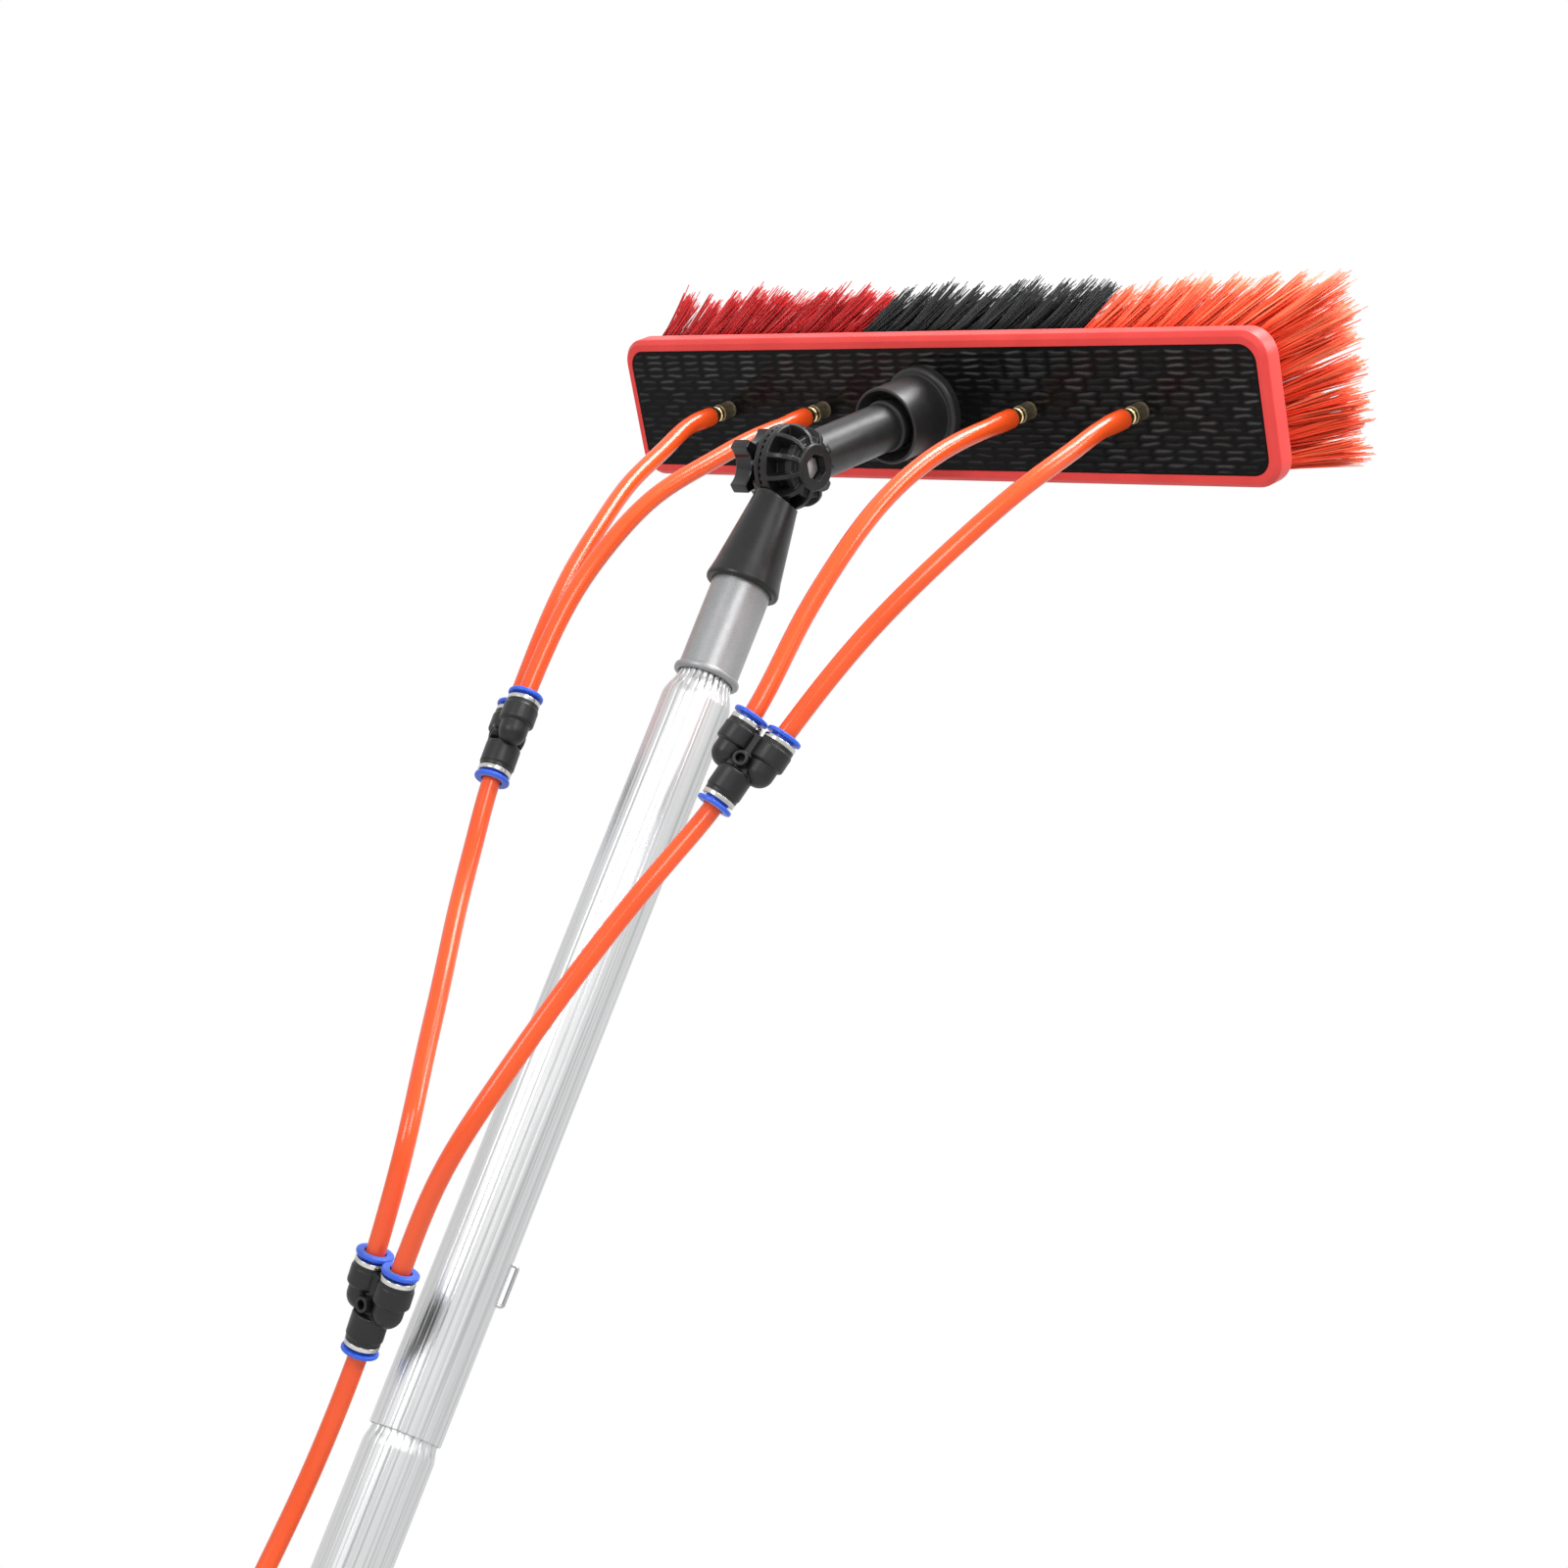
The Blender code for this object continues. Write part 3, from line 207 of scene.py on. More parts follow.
# Bristles; filaments have a share of their length and of their width at each station
TUFT_COLUMNS = 28
TUFT_ROWS = 7
TUFT_PITCH = 0.0127
TUFT_ROW_PITCH = 0.0088
TUFT_JET_CLEAR = 0.005
TUFT_ROOT_R = 0.0026
TUFT_TIP_R = 0.0058
TUFT_TRIM = 0.0445
TUFT_END_LEAN = 0.44
TUFT_SIDE_LEAN = 0.21
TUFT_LIFT = 0.07
TUFT_SWAY = 0.0011
TUFT_SUNK = 0.0008
TUFT_COLOUR_ENDS = (-0.049, 0.079)
TRIM_SPREAD = 0.0016
TRIM_ROUND = 0.0012
TIP_SPREAD = 0.0009
FILAMENTS = 84
FILAMENT_R = 0.00037
FILAMENT_R_RANGE = (0.8, 1.25)
FILAMENT_BOW = 0.0006
FILAMENT_CURVE = 1.12
STATION_SHARES = (0.0, 0.35, 0.72, 1.0)
STATION_WIDTHS = (1.0, 1.0, 0.92, 0.62)
# Each station's shift of tone is painted shade toward the roots and painted light toward the tips.
STATION_PAINTED_SHADE_AND_LIGHT = (-0.30, -0.05, 0.06, 0.20)
TINT_MEAN = 0.42
TINT_SPREAD = 0.17
BRISTLE_SEED = 7

# Wye fittings: middle from the pivot, way up, and way from the first arm to the second
WYES = {
    "left": ((-0.0706, -0.0281, -0.1514), (-0.13, 0.06, 0.99), (0.83, -0.51, 0.20)),
    "right": ((0.0654, -0.0272, -0.1511), (0.245, 0.07, 0.965), (0.84, 0.50, -0.20)),
    "lower": ((-0.006, -0.0354, -0.3964), (0.29, -0.36, 0.885), (0.93, 0.16, -0.33)),
}
WYE_ARM_X = 0.008
WYE_END = 0.015
WYE_UPPER_BARREL = 0.010
WYE_LOWER_BARREL = 0.0125
WYE_BARREL_R = 0.0076
WYE_ELBOW_R = 0.0062
WYE_ELBOW_Z = 0.0015
WYE_LEG_R = 0.0043
WYE_BOSS_R = 0.0032
WYE_BOSS_HOLE_R = 0.0019
WYE_BOSS_LENGTH = 0.015
WYE_VOXEL = 0.00022
WYE_WEB_Z = 0.009
WYE_WEB = (0.006, 0.0070, 0.0098)
RING_R = 0.0072
RING_Z = 0.0153
RING = 0.0016
COLLET_Z = 0.0181
COLLET_R = 0.0077
COLLET_SLEEVE_R = 0.005
COLLET_BORE_R = 0.00445
COLLET_DEPTH = 0.010
PORT_FACE = 0.0199

# Hoses: points that each passes through, from the pivot
HOSE_R = 0.004
HOSE_IN_PORT = 0.010
HOSE_STRAIGHT = 0.001
PORT_STRAIGHT = HOSE_IN_PORT + HOSE_STRAIGHT
JET_STRAIGHT = 0.012
HOSE_LEAN = 0.5
HOSE_STEP = 0.0035
HOSE_SIDES = 24
CURVE_POINTS = 40
BARB_SWELL = 0.00045
BARB_ENDS = (0.009, 0.017)
LIP = 0.0018
LIP_TUCK = 0.0016
JET_ROUTES = (
    ((-0.1175, 0.0355, 0.0305), (-0.112, 0.018, 0.001), (-0.104, 0.004, -0.028),
     (-0.097, -0.007, -0.056), (-0.0895, -0.0155, -0.084)),
    ((-0.061, 0.033, 0.034), (-0.063, 0.013, 0.0085), (-0.066, -0.0055, -0.0185),
     (-0.0675, -0.018, -0.0475), (-0.068, -0.027, -0.0815)),
    ((0.0595, 0.033, 0.034), (0.059, 0.0125, 0.007), (0.060, -0.004, -0.024),
     (0.0615, -0.015, -0.055), (0.062, -0.022, -0.086)),
    ((0.1195, 0.035, 0.032), (0.116, 0.016, 0.002), (0.109, 0.003, -0.027),
     (0.101, -0.0065, -0.054), (0.0915, -0.013, -0.081)),
)
JET_PORTS = (("left", 1), ("left", 2), ("right", 1), ("right", 2))
BRANCH_ROUTES = {
    "left": ((-0.0625, -0.030, -0.198), (-0.049, -0.036, -0.232), (-0.032, -0.044, -0.265),
             (-0.015, -0.052, -0.300), (-0.002, -0.056, -0.335)),
    "right": ((0.057, -0.035, -0.193), (0.050, -0.045, -0.231), (0.0435, -0.053, -0.269),
              (0.036, -0.058, -0.306), (0.025, -0.057, -0.342)),
}
SUPPLY_ROUTE = ((-0.021, -0.020, -0.472), (-0.0225, -0.0235, -0.530), (-0.023, -0.0245, -0.600),
                (-0.029, -0.0245, -0.670), (-0.052, -0.024, -0.729))
COIL_CENTRE = (-0.100, 0.042)
COIL_TURNS = 8
COIL_PITCH = 0.0085
COIL_INNER_R = 0.032
COIL_POINTS = 48
COIL_LEAD = 0.016
COIL_HIGH_Z = 0.0144
COIL_DROP = 0.25
TIE = 0.001
TIE_CORNER = 0.005


# Materials

def add_node(tree, kind, output, **inputs):
    """A new shader node with its inputs set or linked; returns one of its outputs."""
    node = tree.nodes.new("ShaderNode" + kind)
    for name, value in inputs.items():
        socket = node.inputs[name.replace("_", " ")]
        if isinstance(value, bpy.types.NodeSocket):
            tree.links.new(value, socket)
        else:
            socket.default_value = value
    return node.outputs[output]


class Finish:
    """A slot's procedural material under construction, patterned in its object's own space."""

    def __init__(self, name, slot, colour, roughness, **sockets):
        self.slot = slot
        self.material = bpy.data.materials.new(name)
        self.material.use_nodes = True
        self.tree = self.material.node_tree
        self.shader = self.tree.nodes["Principled BSDF"]
        sockets.update(Base_Color=(*colour, 1.0), Roughness=roughness)
        for socket, value in sockets.items():
            self.shader.inputs[socket.replace("_", " ")].default_value = value
        self.place = add_node(self.tree, "TexCoord", "Object")

    def noise(self, scale, detail=2.0, stretch=(1.0, 1.0, 1.0)):
        """A noise of about 1/scale metres, stretched where a number is under 1."""
        spot = add_node(self.tree, "Mapping", "Vector", Vector=self.place, Scale=stretch)
        return add_node(self.tree, "TexNoise", "Fac", Vector=spot, Scale=scale, Detail=detail)

    def tone_and_painted_light(self):
        """The number stored on the mesh's points: a painted highlight on the plate's bricks, and random
        tone with painted shade and light along the bristles.
        """
        node = self.tree.nodes.new("ShaderNodeAttribute")
        node.attribute_name = "tone_and_painted_light"
        return node.outputs["Fac"]

    def colours(self, value, *stops):
        """Colour the surface by a value, through (position, colour) stops."""
        ramp = self.tree.nodes.new("ShaderNodeValToRGB")
        elements = ramp.color_ramp.elements
        while len(elements) < len(stops):
            elements.new(1.0)
        for element, (position, colour) in zip(elements, stops):
            element.position = position
            element.color = (*colour, 1.0)
        self.tree.links.new(value, ramp.inputs["Fac"])
        self.tree.links.new(ramp.outputs["Color"], self.shader.inputs["Base Color"])

    def spread(self, socket, value, low, high, first=0.3, last=0.7):
        """Take a socket from low to high as a value goes from first to last."""
        result = add_node(self.tree, "MapRange", "Result", Value=value, From_Min=first, From_Max=last,
                          To_Min=low, To_Max=high)
        self.tree.links.new(result, self.shader.inputs[socket])

    def bump(self, height, strength, distance=0.0001):
        """Raise the surface's shading by a height."""
        normal = add_node(self.tree, "Bump", "Normal", Height=height, Strength=strength,
                          Distance=distance)
        self.tree.links.new(normal, self.shader.inputs["Normal"])


def shades(colour, spread):
    """A darker and a lighter neighbour of a colour."""
    return [tuple(min(1.0, part * factor) for part in colour) for factor in (1 - spread, 1 + spread)]


def grained(name, colour, roughness, grain, strength, spread=0.10, speckle=60, slot="black_plastic",
            **sockets):
    """Moulded plastic with a fine grain."""
    finish = Finish(name, slot, colour, roughness, **sockets)
    dark, light = shades(colour, spread)
    finish.colours(finish.noise(speckle, 4.0), (0.35, dark), (0.65, light))
    finish.spread("Roughness", finish.noise(140, 3.0), roughness - 0.05, roughness + 0.06)
    finish.bump(finish.noise(grain), strength)
    return finish


def red_plastic():
    finish = Finish("red_plastic", "red_plastic", (0.86, 0.068, 0.061), 0.40, Specular_IOR_Level=0.28)
    finish.colours(finish.noise(45, 5.0), (0.30, (0.82, 0.062, 0.056)), (0.70, (0.90, 0.074, 0.066)))
    finish.spread("Roughness", finish.noise(220, 3.0, (0.15, 1.0, 1.0)), 0.34, 0.46)
    finish.bump(finish.noise(1500), 0.06)
    return finish


def panel_black():
    """Glossy black with a painted highlight, lighter and more reflective, on the upper edges of its
    raised bricks.
    """
    finish = Finish("panel_black", "black_plastic", (0.005, 0.005, 0.0054), 0.24,
                    Specular_IOR_Level=0.14)
    # The stored number here is a painted highlight on the bricks' upper edges.
    painted_highlight = finish.tone_and_painted_light()
    finish.colours(painted_highlight, (0.0, (0.0045, 0.0045, 0.0047)), (1.0, (0.022, 0.0223, 0.0227)))
    finish.spread("Specular IOR Level", painted_highlight, 0.09, 0.80, 0.0, 1.0)
    finish.spread("Roughness", finish.noise(160, 3.0), 0.19, 0.30)
    finish.bump(finish.noise(900), 0.06)
    return finish


def drawn_aluminium():
    finish = Finish("aluminium", "aluminium", (0.63, 0.635, 0.64), 0.34, Metallic=0.9)
    # Streaks along the pole: partly real drawn lines, partly painted reflection stripes in the colour.
    drawn_lines_and_painted_streaks = finish.noise(620, 3.0, (1.0, 1.0, 0.006))
    finish.colours(drawn_lines_and_painted_streaks, (0.36, (0.46, 0.465, 0.47)), (0.48, (0.62, 0.625, 0.63)),
                   (0.68, (0.68, 0.685, 0.69)))
    finish.spread("Roughness", finish.noise(700, 2.0, (1.0, 1.0, 0.02)), 0.28, 0.40)
    finish.bump(drawn_lines_and_painted_streaks, 0.05, 0.00006)
    return finish


def metal(name, slot, colour, roughness, scale=700, spread=0.10, strength=0.05, metallic=1.0):
    finish = Finish(name, slot, colour, roughness, Metallic=metallic)
    dark, light = shades(colour, spread)
    marks = finish.noise(scale, 4.0)
    finish.colours(marks, (0.30, dark), (0.70, light))
    finish.spread("Roughness", finish.noise(scale / 3, 3.0), roughness * 0.75, roughness * 1.35)
    finish.bump(marks, strength, 0.00008)
    return finish


def orange_hose():
    finish = Finish("orange_hose", "orange_hose", (1.0, 0.104, 0.017), 0.20, Specular_IOR_Level=0.45)
    finish.colours(finish.noise(25), (0.30, (0.98, 0.096, 0.015)), (0.70, (1.0, 0.112, 0.020)))
    finish.spread("Roughness", finish.noise(90), 0.18, 0.23)
    return finish


def bristle(name, slot, dark, middle, light):
    finish = Finish(name, slot, middle, 0.42, Specular_IOR_Level=0.16)
    # The ramp's dark end carries painted shade near the roots, its light end painted highlights near
    # the tips.
    finish.colours(finish.tone_and_painted_light(), (0.0, dark), (0.5, middle), (1.0, light))
    finish.spread("Roughness", finish.noise(300), 0.36, 0.50)
    return finish


def make_finishes():
    """Every finish by its name."""
    return {
        "red": red_plastic(),
        "panel": panel_black(),
        "black": grained("satin_black", (0.012, 0.012, 0.0123), 0.34, 2800, 0.13, 0.40, 2600,
                         Specular_IOR_Level=0.32),
        # A lighter copy of the satin black for the stem and the socket: painted light on these parts.
        "boss": grained("satin_black_painted_lighter", (0.020, 0.020, 0.0203), 0.38, 2800, 0.13, 0.40, 2600,
                        Specular_IOR_Level=0.36),
        "wye": grained("matt_black", (0.0085, 0.0087, 0.0090), 0.40, 1500, 0.18,
                       Specular_IOR_Level=0.38),
        "knob": grained("glossy_black", (0.008, 0.008, 0.0085), 0.17, 1500, 0.05,
                        Specular_IOR_Level=0.45),
        "collar": grained("silver_grey", (0.325, 0.33, 0.335), 0.38, 2800, 0.20, 0.14, 2600,
                          "grey_plastic", Metallic=0.45),
        "aluminium": drawn_aluminium(),
        "steel": metal("bright_steel", "steel", (0.52, 0.52, 0.53), 0.38, 900, 0.16, 0.18, 0.8),
        "wire": metal("clip_wire", "steel", (0.44, 0.44, 0.45), 0.24),
        "brass": metal("jet_brass", "brass", (0.23, 0.185, 0.12), 0.32, 900, 0.16, 0.05, 0.7),
        "brass_ring": metal("polished_brass", "brass", (0.86, 0.66, 0.36), 0.17, 500),
        "nickel": metal("nickel", "nickel", (0.56, 0.545, 0.51), 0.17, 500),
        "blue": grained("blue_collet", (0.045, 0.140, 0.80), 0.32, 1200, 0.05, 0.08,
                        slot="blue_plastic", Specular_IOR_Level=0.35),
        "hose": orange_hose(),
        # Both red fields are one red plastic: the left copy is darkened by painted shade, the right
        # copy lightened by painted light.
        "bristles_red_left": bristle("red_bristle_painted_shade", "red_bristle", (0.20, 0.002, 0.003),
                                     (0.44, 0.005, 0.007), (0.72, 0.028, 0.026)),
        "bristles_red_right": bristle("red_bristle_painted_light", "red_bristle", (0.90, 0.040, 0.014),
                                      (1.0, 0.120, 0.048), (1.0, 0.40, 0.21)),
        "bristles_black": bristle("black_bristle", "black_bristle", (0.003, 0.003, 0.0033),
                                  (0.009, 0.0093, 0.0097), (0.040, 0.041, 0.043)),
    }


# Objects

def linked(name, data):
    """A new object in the scene."""
    obj = bpy.data.objects.new(name, data)
    bpy.context.scene.collection.objects.link(obj)
    return obj


def outward_mesh(name, bm):
    """A bmesh as a mesh whose faces look outward."""
    bmesh.ops.recalc_face_normals(bm, faces=bm.faces)
    mesh = bpy.data.meshes.new(name)
    bm.to_mesh(mesh)
    bm.free()
    return mesh


def finished_mesh(name, bm, finish):
    """A bmesh as a smooth-shaded mesh with a finish."""
    mesh = outward_mesh(name, bm)
    mesh.materials.append(finish.material)
    mesh.shade_smooth()
    mesh.set_sharp_from_angle(angle=SHARP_EDGE)
    return mesh


def add_piece(name, shape, finish, body, nodes, matrix=None):
    """Link a piece that rides on a body and stands for CAD nodes, which it hides.

    Its shape is a bmesh, or a finished mesh that pieces can share.
    """
    mesh = shape if isinstance(shape, bpy.types.Mesh) else finished_mesh(name, shape, finish)
    piece = linked(name, mesh)
    if matrix is not None:
        piece.matrix_world = matrix
    if body is not None:
        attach(piece, body)
    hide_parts(*nodes)
    return piece


def modified(bm, **modifiers):
    """A bmesh put through modifiers, each given by its kind and settings."""
    obj = linked("shape", outward_mesh("shape", bm))
    for kind, settings in modifiers.items():
        modifier = obj.modifiers.new(kind, kind)
        for name, value in settings.items():
            setattr(modifier, name, value)
    depsgraph = bpy.context.evaluated_depsgraph_get()
    mesh = bpy.data.meshes.new_from_object(obj.evaluated_get(depsgraph))
    bpy.data.objects.remove(obj)
    result = bmesh.new()
    result.from_mesh(mesh)
    return result


def cut(bm, tool):
    """One bmesh with another cut out of it."""
    cutter = linked("cutter", outward_mesh("cutter", tool))
    result = modified(bm, BOOLEAN={"operation": "DIFFERENCE", "solver": "EXACT", "object": cutter})
    bpy.data.objects.remove(cutter)
    return result


def fused(bm, voxel):
    """Overlapping shapes grown into one moulding with softened edges."""
    return modified(bm, REMESH={"mode": "VOXEL", "voxel_size": voxel},
                    SMOOTH={"factor": 0.5, "iterations": 3})


def joined(*parts):
    """Several bmeshes as one."""
    whole = bmesh.new()
    for part in parts:
        mesh = bpy.data.meshes.new("part")
        part.to_mesh(mesh)
        part.free()
        whole.from_mesh(mesh)
        bpy.data.meshes.remove(mesh)
    return whole


def moved(bm, matrix):
    bmesh.ops.transform(bm, matrix=matrix, verts=bm.verts)
    return bm


# Shapes

def eased(value, low, high):
    """0 below low, 1 above high, and smooth between."""
    share = min(max((value - low) / (high - low), 0.0), 1.0)
    return share * share * (3 - 2 * share)


def filleted(corners, steps=5):
    """Profile points from (radius, height) corners, a fillet's radius added where there is one."""
    points = []
    for index, (radius, height, *fillet) in enumerate(corners):
        here = Vector((radius, height))
        if not fillet:
            points.append(here)
            continue
        back = (Vector(corners[index - 1][:2]) - here).normalized()
        onward = (Vector(corners[(index + 1) % len(corners)][:2]) - here).normalized()
        half = back.angle(onward) / 2
        centre = here + (back + onward).normalized() * (fillet[0] / sin(half))
        first = here + back * (fillet[0] / tan(half)) - centre
        last = here + onward * (fillet[0] / tan(half)) - centre
        sweep = pi - 2 * half
        for step in range(steps + 1):
            share = step / steps
            arm = first * sin((1 - share) * sweep) + last * sin(share * sweep)
            points.append(centre + arm / sin(sweep))
    return points


def skinned(rings, loop=False):
    """A skin over rings of points; a ring of one point is a pole."""
    bm = bmesh.new()
    placed = [[bm.verts.new(point) for point in ring] for ring in rings]
    pairs = list(zip(placed, placed[1:]))
    if loop:
        pairs.append((placed[-1], placed[0]))
    for ring, following in pairs:
        for index in range(max(len(ring), len(following))):
            corners = ((ring, index), (ring, index + 1), (following, index + 1), (following, index))
            verts = [verts[step % len(verts)] for verts, step in corners]
            bm.faces.new(list(dict.fromkeys(verts)))
    return bm


def turned(profile, segments, shape=None):
    """A profile spun about Z: a loop unless its ends are on the axis.

    shape(turn, radius, height) gives the radius where the surface is dented.
    """
    rings = []
    for radius, height in profile:
        if radius < ON_AXIS:
            rings.append([(0.0, 0.0, height)])
            continue
        ring = []
        for step in range(segments):
            turn = tau * step / segments
            reach = shape(turn, radius, height) if shape else radius
            ring.append((reach * cos(turn), reach * sin(turn), height))
        rings.append(ring)
    return skinned(rings, loop=profile[0][0] > ON_AXIS)


def lathed(corners, segments=72, shape=None, steps=5):
    """A turned piece from the corners of its profile."""
    return turned(filleted(corners, steps), segments, shape)


def cylinder(radius, low, high, segments):
    return turned([(0, high), (radius, high), (radius, low), (0, low)], segments)


def closed_loft(rings):
    """A skin over rings with a flat face on each end."""
    bm = skinned(rings)
    bm.verts.ensure_lookup_table()
    count = len(rings[0])
    bm.faces.new(bm.verts[:count])
    bm.faces.new(bm.verts[-count:])
    return bm


def circle(radius, height, count, first=0.0):
    """Points round a circle."""
    turns = [first + tau * step / count for step in range(count)]
    return [(radius * cos(turn), radius * sin(turn), height) for turn in turns]


def hexagon(across_flats, height, per_side):
    """Points round a hexagon, several on each side."""
    corners = [Vector(corner) for corner in circle(across_flats / sqrt(3), height, 6, pi / 6)]
    return [corners[side].lerp(corners[(side + 1) % 6], step / per_side)
            for side in range(6) for step in range(per_side)]


def rounded_outline(half, corner, grow, height):
    """Points of a rounded rectangle at one height, grown all round."""
    round_r = corner + grow
    steps = 10
    points = []
    for quarter, (side_x, side_y) in enumerate(((1, 1), (-1, 1), (-1, -1), (1, -1))):
        for step in range(steps + 1):
            turn = (quarter + step / steps) * pi / 2
            points.append((side_x * (half[0] + grow - round_r) + round_r * cos(turn),
                           side_y * (half[1] + grow - round_r) + round_r * sin(turn), height))
    return points


def along_x(sign=1):
    """The turn that lays a piece made on Z along +X or -X."""
    return Matrix.Rotation(sign * pi / 2, 4, "Y")


def axes_matrix(origin, up, across):
    """A frame with Z on up and X on the part of across that is square to it."""
    axis_z = Vector(up).normalized()
    axis_x = Vector(across)
    axis_x = (axis_x - axis_z * axis_x.dot(axis_z)).normalized()
    matrix = Matrix((axis_x, axis_z.cross(axis_x), axis_z)).transposed().to_4x4()
    matrix.translation = Vector(origin)
    return matrix


def swept(points, radii, sides):
    """A round bar along points, with a radius at each and closed ends."""
    places = np.array(points, float)
    ways = np.gradient(places, axis=0)
    ways /= np.linalg.norm(ways, axis=1)[:, None]
    # The second way only has to differ from the path's first one
    side = np.cross(ways[0], (0.31, 0.57, 0.76))
    turns = np.linspace(0, tau, sides, endpoint=False)
    rings = []
    for place, way, radius in zip(places, ways, radii):
        side = side - way * (side @ way)
        side /= np.linalg.norm(side)
        other = np.cross(way, side)
        rings.append([tuple(place + radius * (cos(turn) * side + sin(turn) * other)) for turn in turns])
    return closed_loft(rings)


# Pole

def pole_section(bottom, body_top, neck_z, neck_r, top, pleat):
    """A fluted tube whose top is drawn into a pleated neck."""
    shoulder = body_top - POLE_SHOULDER
    outer = [(POLE_R - POLE_EDGE, bottom), (POLE_R, bottom + POLE_EDGE)]
    outer += [(POLE_R, bottom + (body_top - bottom) * step / POLE_STEPS)
              for step in range(1, POLE_STEPS)]
    for step in range(POLE_STEPS + 1):
        share = step / POLE_STEPS
        outer.append((POLE_R - (POLE_R - neck_r) * eased(share, 0, 1),
                      shoulder + (neck_z - shoulder) * share))
    outer.append((neck_r, top))
    bore = POLE_R - POLE_WALL
    neck_bore = neck_r - POLE_WALL - pleat
    inner = [(neck_bore, top), (neck_bore, neck_z), (bore, shoulder - POLE_SHOULDER), (bore, bottom)]

    def shape(turn, radius, height):
        if (radius, height) in inner:
            return radius
        depth = FLUTE_DEPTH + (pleat - FLUTE_DEPTH) * eased(height, shoulder, neck_z)
        phase = (turn * FLUTES / tau) % 1.0 - 0.5
        flat = FLUTE_FLAT * (1 - (2 * phase) ** 2)
        return radius - flat - depth * exp(-((abs(phase) - 0.5) / GROOVE_SHARE) ** 2)

    return turned(outer + inner, FLUTES * FLUTE_POINTS, shape)


def make_pole(finishes):
    """Both sections, and the ribbed cap on the foot."""
    for name, measures in SECTIONS.items():
        add_piece(name + "_fluted", pole_section(*measures), finishes["aluminium"], "pole", [name])
    cap_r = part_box("end_cap")[1].x
    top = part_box("end_cap")[1].z
    inside = POLE_R + GAP

    def grip(turn, radius, height):
        ribbed = radius > inside and 0.004 < height < top - 0.003 and sin(CAP_RIBS * turn) > 0
        return radius - CAP_RIB * ribbed

    cap = lathed([
        (0, CAP_FLOOR), (inside, CAP_FLOOR), (inside, top, 0.0003), (cap_r, top, 0.0008),
        (cap_r, top - 0.0032), (cap_r, top - 0.0034), (cap_r, 0.0045), (cap_r, 0.0043),
        (cap_r, 0, 0.0012), (0, 0)], CAP_RIBS * 4, grip)
    add_piece("end_cap_ribbed", cap, finishes["black"], "pole", ["end_cap"])


def make_clip(finishes):
    """The bent wire, hung in the two holes of the upper section."""
    bend_x = CLIP_PROUD - CLIP_BEND
    path = [(-CLIP_LEG, 0, 0), (bend_x, 0, 0)]
    for corner_z, first in ((-CLIP_BEND, pi / 2), (CLIP_BEND - CLIP_SPAN, 0)):
        for step in range(CLIP_BEND_STEPS + 1):
            turn = first - pi / 2 * step / CLIP_BEND_STEPS
            path.append((bend_x + CLIP_BEND * cos(turn), 0, corner_z + CLIP_BEND * sin(turn)))
    path.append((-CLIP_LEG, 0, -CLIP_SPAN))
    wire = swept(path, [CLIP_WIRE / 2] * len(path), 14)
    hinge = (POLE_R * cos(CLIP_SIDE), POLE_R * sin(CLIP_SIDE), CLIP_Z)
    add_piece("lock_clip_wire", wire, finishes["wire"], "clip", ["lock_clip"],
              at(hinge) @ Matrix.Rotation(CLIP_SIDE, 4, "Z"))


def make_collar(finishes):
    """The grey sleeve between the pole's neck and the joint."""
    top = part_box("pole_collar")[1].z
    bead = FLANGE_Z + COLLAR_FLANGE
    bore = UPPER_NECK_R + GAP
    step = ARM_Z + 0.0153
    end = ARM_Z + 0.0103
    collar = lathed([
        (0, top), (COLLAR_TOP_R, top), (COLLAR_TOP_R, step), (COLLAR_R, step),
        (COLLAR_R, bead, 0.0006), (COLLAR_FLANGE_R, bead, 0.0012), (COLLAR_FLANGE_R, FLANGE_Z, 0.0012),
        (bore, FLANGE_Z, 0.0002), (bore, end), (0, end)])
    add_piece("pole_collar_sleeve", collar, finishes["collar"], "pole", ["pole_collar"])


# Tilting joint, made about Z and laid along X

def fins(rim, hub_x, low):
    """Upright fins round Z, each a flat plate domed from the rim to the hub."""
    hub_r = HUB_R - 0.0006
    reach = DOME_R - 0.0002
    outline = [(low, FIN_ROOT), (low, DOME_R - 0.0004), (rim, reach)]
    for step in range(1, 11):
        share = step / 10
        outline.append((rim + (hub_x - rim) * share, hub_r + (reach - hub_r) * sqrt(1 - share ** 2)))
    outline.append((hub_x, FIN_ROOT))
    plates = []
    for number in range(FIN_COUNT):
        turn = tau * number / FIN_COUNT
        out = Vector((-cos(turn), sin(turn), 0))
        across = Vector((sin(turn), cos(turn), 0))
        plates.append(closed_loft([[out * radius + across * side + Vector((0, 0, along))
                                    for along, radius in outline] for side in (-FIN / 2, FIN / 2)]))
    return joined(*plates)


def tooth_ring(low, high, inner, outer):
    """A ring whose lower edge is cut into teeth."""
    rings = []
    for radius, height, tooth in ((inner, high, 0), (outer, high, 0), (outer, low, TOOTH),
                                  (inner, low, TOOTH)):
        points = enumerate(circle(radius, height, 2 * TEETH))
        rings.append([(x, y, z + tooth * (step % 2)) for step, (x, y, z) in points])
    return skinned(rings, loop=True)


def clearance(low, high):
    """The round space about X that the other half of the joint turns in."""
    return moved(cylinder(DOME_R + DOME_CLEAR, low, high, 120), along_x())


